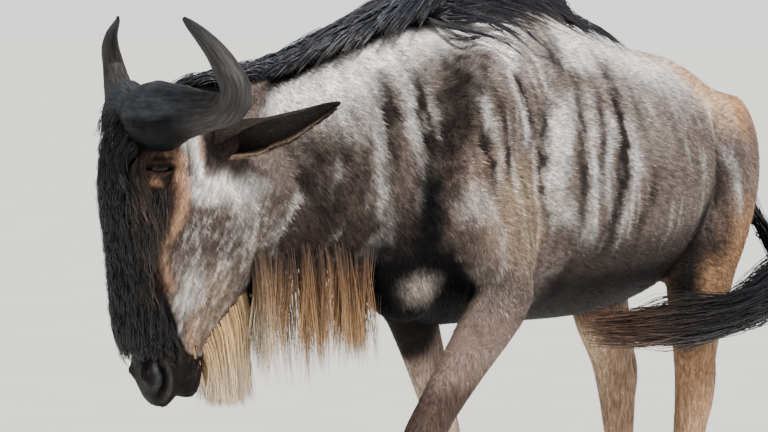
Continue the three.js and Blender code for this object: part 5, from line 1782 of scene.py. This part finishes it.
def coloured(name, roughness, gloss, place, stretch, depth, pore_size=0, relief=0, tone=None):
    """A surface whose painted tone, or one plain tone, is broken up by fine shades, with a fine relief."""
    material, tree, shader = surface(name, roughness, gloss)
    if place == "Object":
        spot = add_node(tree, "TexCoord").outputs["Object"]
    else:
        spot = add_node(tree, "Attribute", attribute_name=place).outputs["Vector"]
    turned = add_node(tree, "Mapping")
    turned.inputs["Scale"].default_value = stretch
    tree.links.new(spot, turned.inputs["Vector"])
    hair = use_group(tree, shades, Depth=depth)
    if tone is None:
        painted = add_node(tree, "Attribute", attribute_name="tone")
        tree.links.new(painted.outputs["Color"], hair.inputs["Tone"])
    else:
        hair.inputs["Tone"].default_value = (*dye(tone), 1)
    tree.links.new(turned.outputs["Vector"], hair.inputs["Place"])
    tree.links.new(hair.outputs["Color"], shader.inputs["Base Color"])
    if relief:
        raised = use_group(tree, pores, Size=pore_size, Strength=relief)
        tree.links.new(spot, raised.inputs["Place"])
        tree.links.new(hair.outputs["Height"], raised.inputs["Height"])
        tree.links.new(raised.outputs["Normal"], shader.inputs["Normal"])
    return material


skin_look = coloured(
    "skin", roughness=0.55, gloss=0.09, place="grain", stretch=(190, 34, 190), depth=0.75,
    pore_size=260, relief=0.5)
coat_look = coloured("coat", roughness=0.6, gloss=0.05, place="Object", stretch=(260, 260, 260), depth=0.35)
hair_look = coloured(
    "long_hair", roughness=0.34, gloss=0.42, place="Object", stretch=(160, 160, 160), depth=0.4)
brush_look = coloured(
    "face_hair", roughness=0.27, gloss=0.55, place="Object", stretch=(160, 160, 160), depth=0.4)
ear_look = coloured(
    "ear", roughness=0.6, gloss=0.22, place="Object", stretch=(400, 120, 120), depth=0.5,
    pore_size=420, relief=0.3)
horn_look = coloured(
    "horn", roughness=0.5, gloss=0.12, place="grain", stretch=(260, 260, 260), depth=0.7,
    pore_size=90, relief=0.7)
eye_look = coloured("eye", roughness=0.2, gloss=0.2, place="Object", stretch=(500, 500, 500), depth=0.3)
hoof_look = coloured(
    "hoof", roughness=0.5, gloss=0.35, place="Object", stretch=(320, 320, 50), depth=0.8,
    pore_size=180, relief=0.4, tone="2b2622")
LOOKS = {
    skin_look: ["skin"],
    coat_look: ["coat_front", "coat_rear", "coat_legs", "coat_head", "beard", "ear_fur_left", "ear_fur_right"],
    hair_look: ["mane", "mane_rear", "throat_fringe", "tail_tuft"],
    brush_look: ["face_brush", "forelock"],
    ear_look: ["ear_left_skin", "ear_right_skin"],
    horn_look: ["horn_left_sheath", "horn_right_sheath"],
    eye_look: ["eyeball_left", "eyeball_right"],
    hoof_look: [piece.name for piece in hoofs],
}
for look, names in LOOKS.items():
    for name in names:
        materials = bpy.data.objects[name].data.materials
        materials.clear()
        materials.append(look)


# Camera, floor and light


def way_back(turned, raised):
    """The way from the animal to whoever looks at it, in degrees round it and above the ground."""
    a, e = math.radians(turned), math.radians(raised)
    return Vector((math.sin(a) * math.cos(e), -math.cos(a) * math.cos(e), math.sin(e)))


def aim(obj, back):
    """Turns a camera or lamp to look along the way opposite to back."""
    obj.rotation_mode = "QUATERNION"
    obj.rotation_quaternion = (-back).to_track_quat("-Z", "Y")


# Nearly level with the chest, to the animal's left of its front, from far off
VIEW_TURN, VIEW_RISE, VIEW_DISTANCE = 32.5, 3.5, 9.0
VIEW_TARGET = Vector((0.12, -0.414, 0.92))
camera_data = bpy.data.cameras.new("camera")
camera = bpy.data.objects.new("camera", camera_data)
bpy.context.scene.collection.objects.link(camera)
camera.location = VIEW_TARGET + way_back(VIEW_TURN, VIEW_RISE) * VIEW_DISTANCE
aim(camera, way_back(VIEW_TURN, VIEW_RISE))
camera_data.lens = 219.4
camera_data.sensor_width = 36
camera_data.clip_end = 300
bpy.context.scene.camera = camera


def pale_floor():
    """A wide matt floor with a very faint cloudiness."""
    bpy.ops.mesh.primitive_plane_add(size=90)
    floor = bpy.context.active_object
    floor.name = "floor"
    look, tree, shader = surface("pale_floor", roughness=0.9, gloss=0.1)
    place = add_node(tree, "TexCoord")
    cloud = add_node(tree, "TexNoise", Scale=3.0, Detail=2.0)
    tint = use_group(tree, shades, Tone=(0.80, 0.80, 0.79, 1), Depth=0.04)
    tree.links.new(place.outputs["Object"], cloud.inputs["Vector"])
    tree.links.new(cloud.outputs["Color"], tint.inputs["Place"])
    tree.links.new(tint.outputs["Color"], shader.inputs["Base Color"])
    floor.data.materials.append(look)


def sun(name, energy, spread, turned, raised, colour=(1, 1, 1)):
    """A broad distant light from one side, spread over so many degrees."""
    lamp = bpy.data.lights.new(name, "SUN")
    lamp.energy, lamp.angle, lamp.color = energy, math.radians(spread), colour
    obj = bpy.data.objects.new(name, lamp)
    bpy.context.scene.collection.objects.link(obj)
    aim(obj, way_back(turned, raised))


def studio_light():
    """A soft blue-white light from all round, and a pale backdrop where the camera sees past the floor."""
    world = bpy.data.worlds.new("studio")
    bpy.context.scene.world = world
    world.use_nodes = True
    nodes, links = world.node_tree.nodes, world.node_tree.links
    nodes["Background"].inputs["Color"].default_value = (0.80, 0.85, 0.92, 1)
    nodes["Background"].inputs["Strength"].default_value = 0.36
    backdrop = nodes.new("ShaderNodeBackground")
    backdrop.inputs["Color"].default_value = (1.46, 1.46, 1.44, 1)
    seen = nodes.new("ShaderNodeLightPath")
    either = nodes.new("ShaderNodeMixShader")
    links.new(seen.outputs["Is Camera Ray"], either.inputs["Fac"])
    links.new(nodes["Background"].outputs["Background"], either.inputs[1])
    links.new(backdrop.outputs["Background"], either.inputs[2])
    links.new(either.outputs["Shader"], nodes["World Output"].inputs["Surface"])


pale_floor()
sun("key", energy=6.2, spread=13, turned=80, raised=54, colour=(1.0, 0.97, 0.92))
sun("fill", energy=0.45, spread=60, turned=0, raised=25)
studio_light()
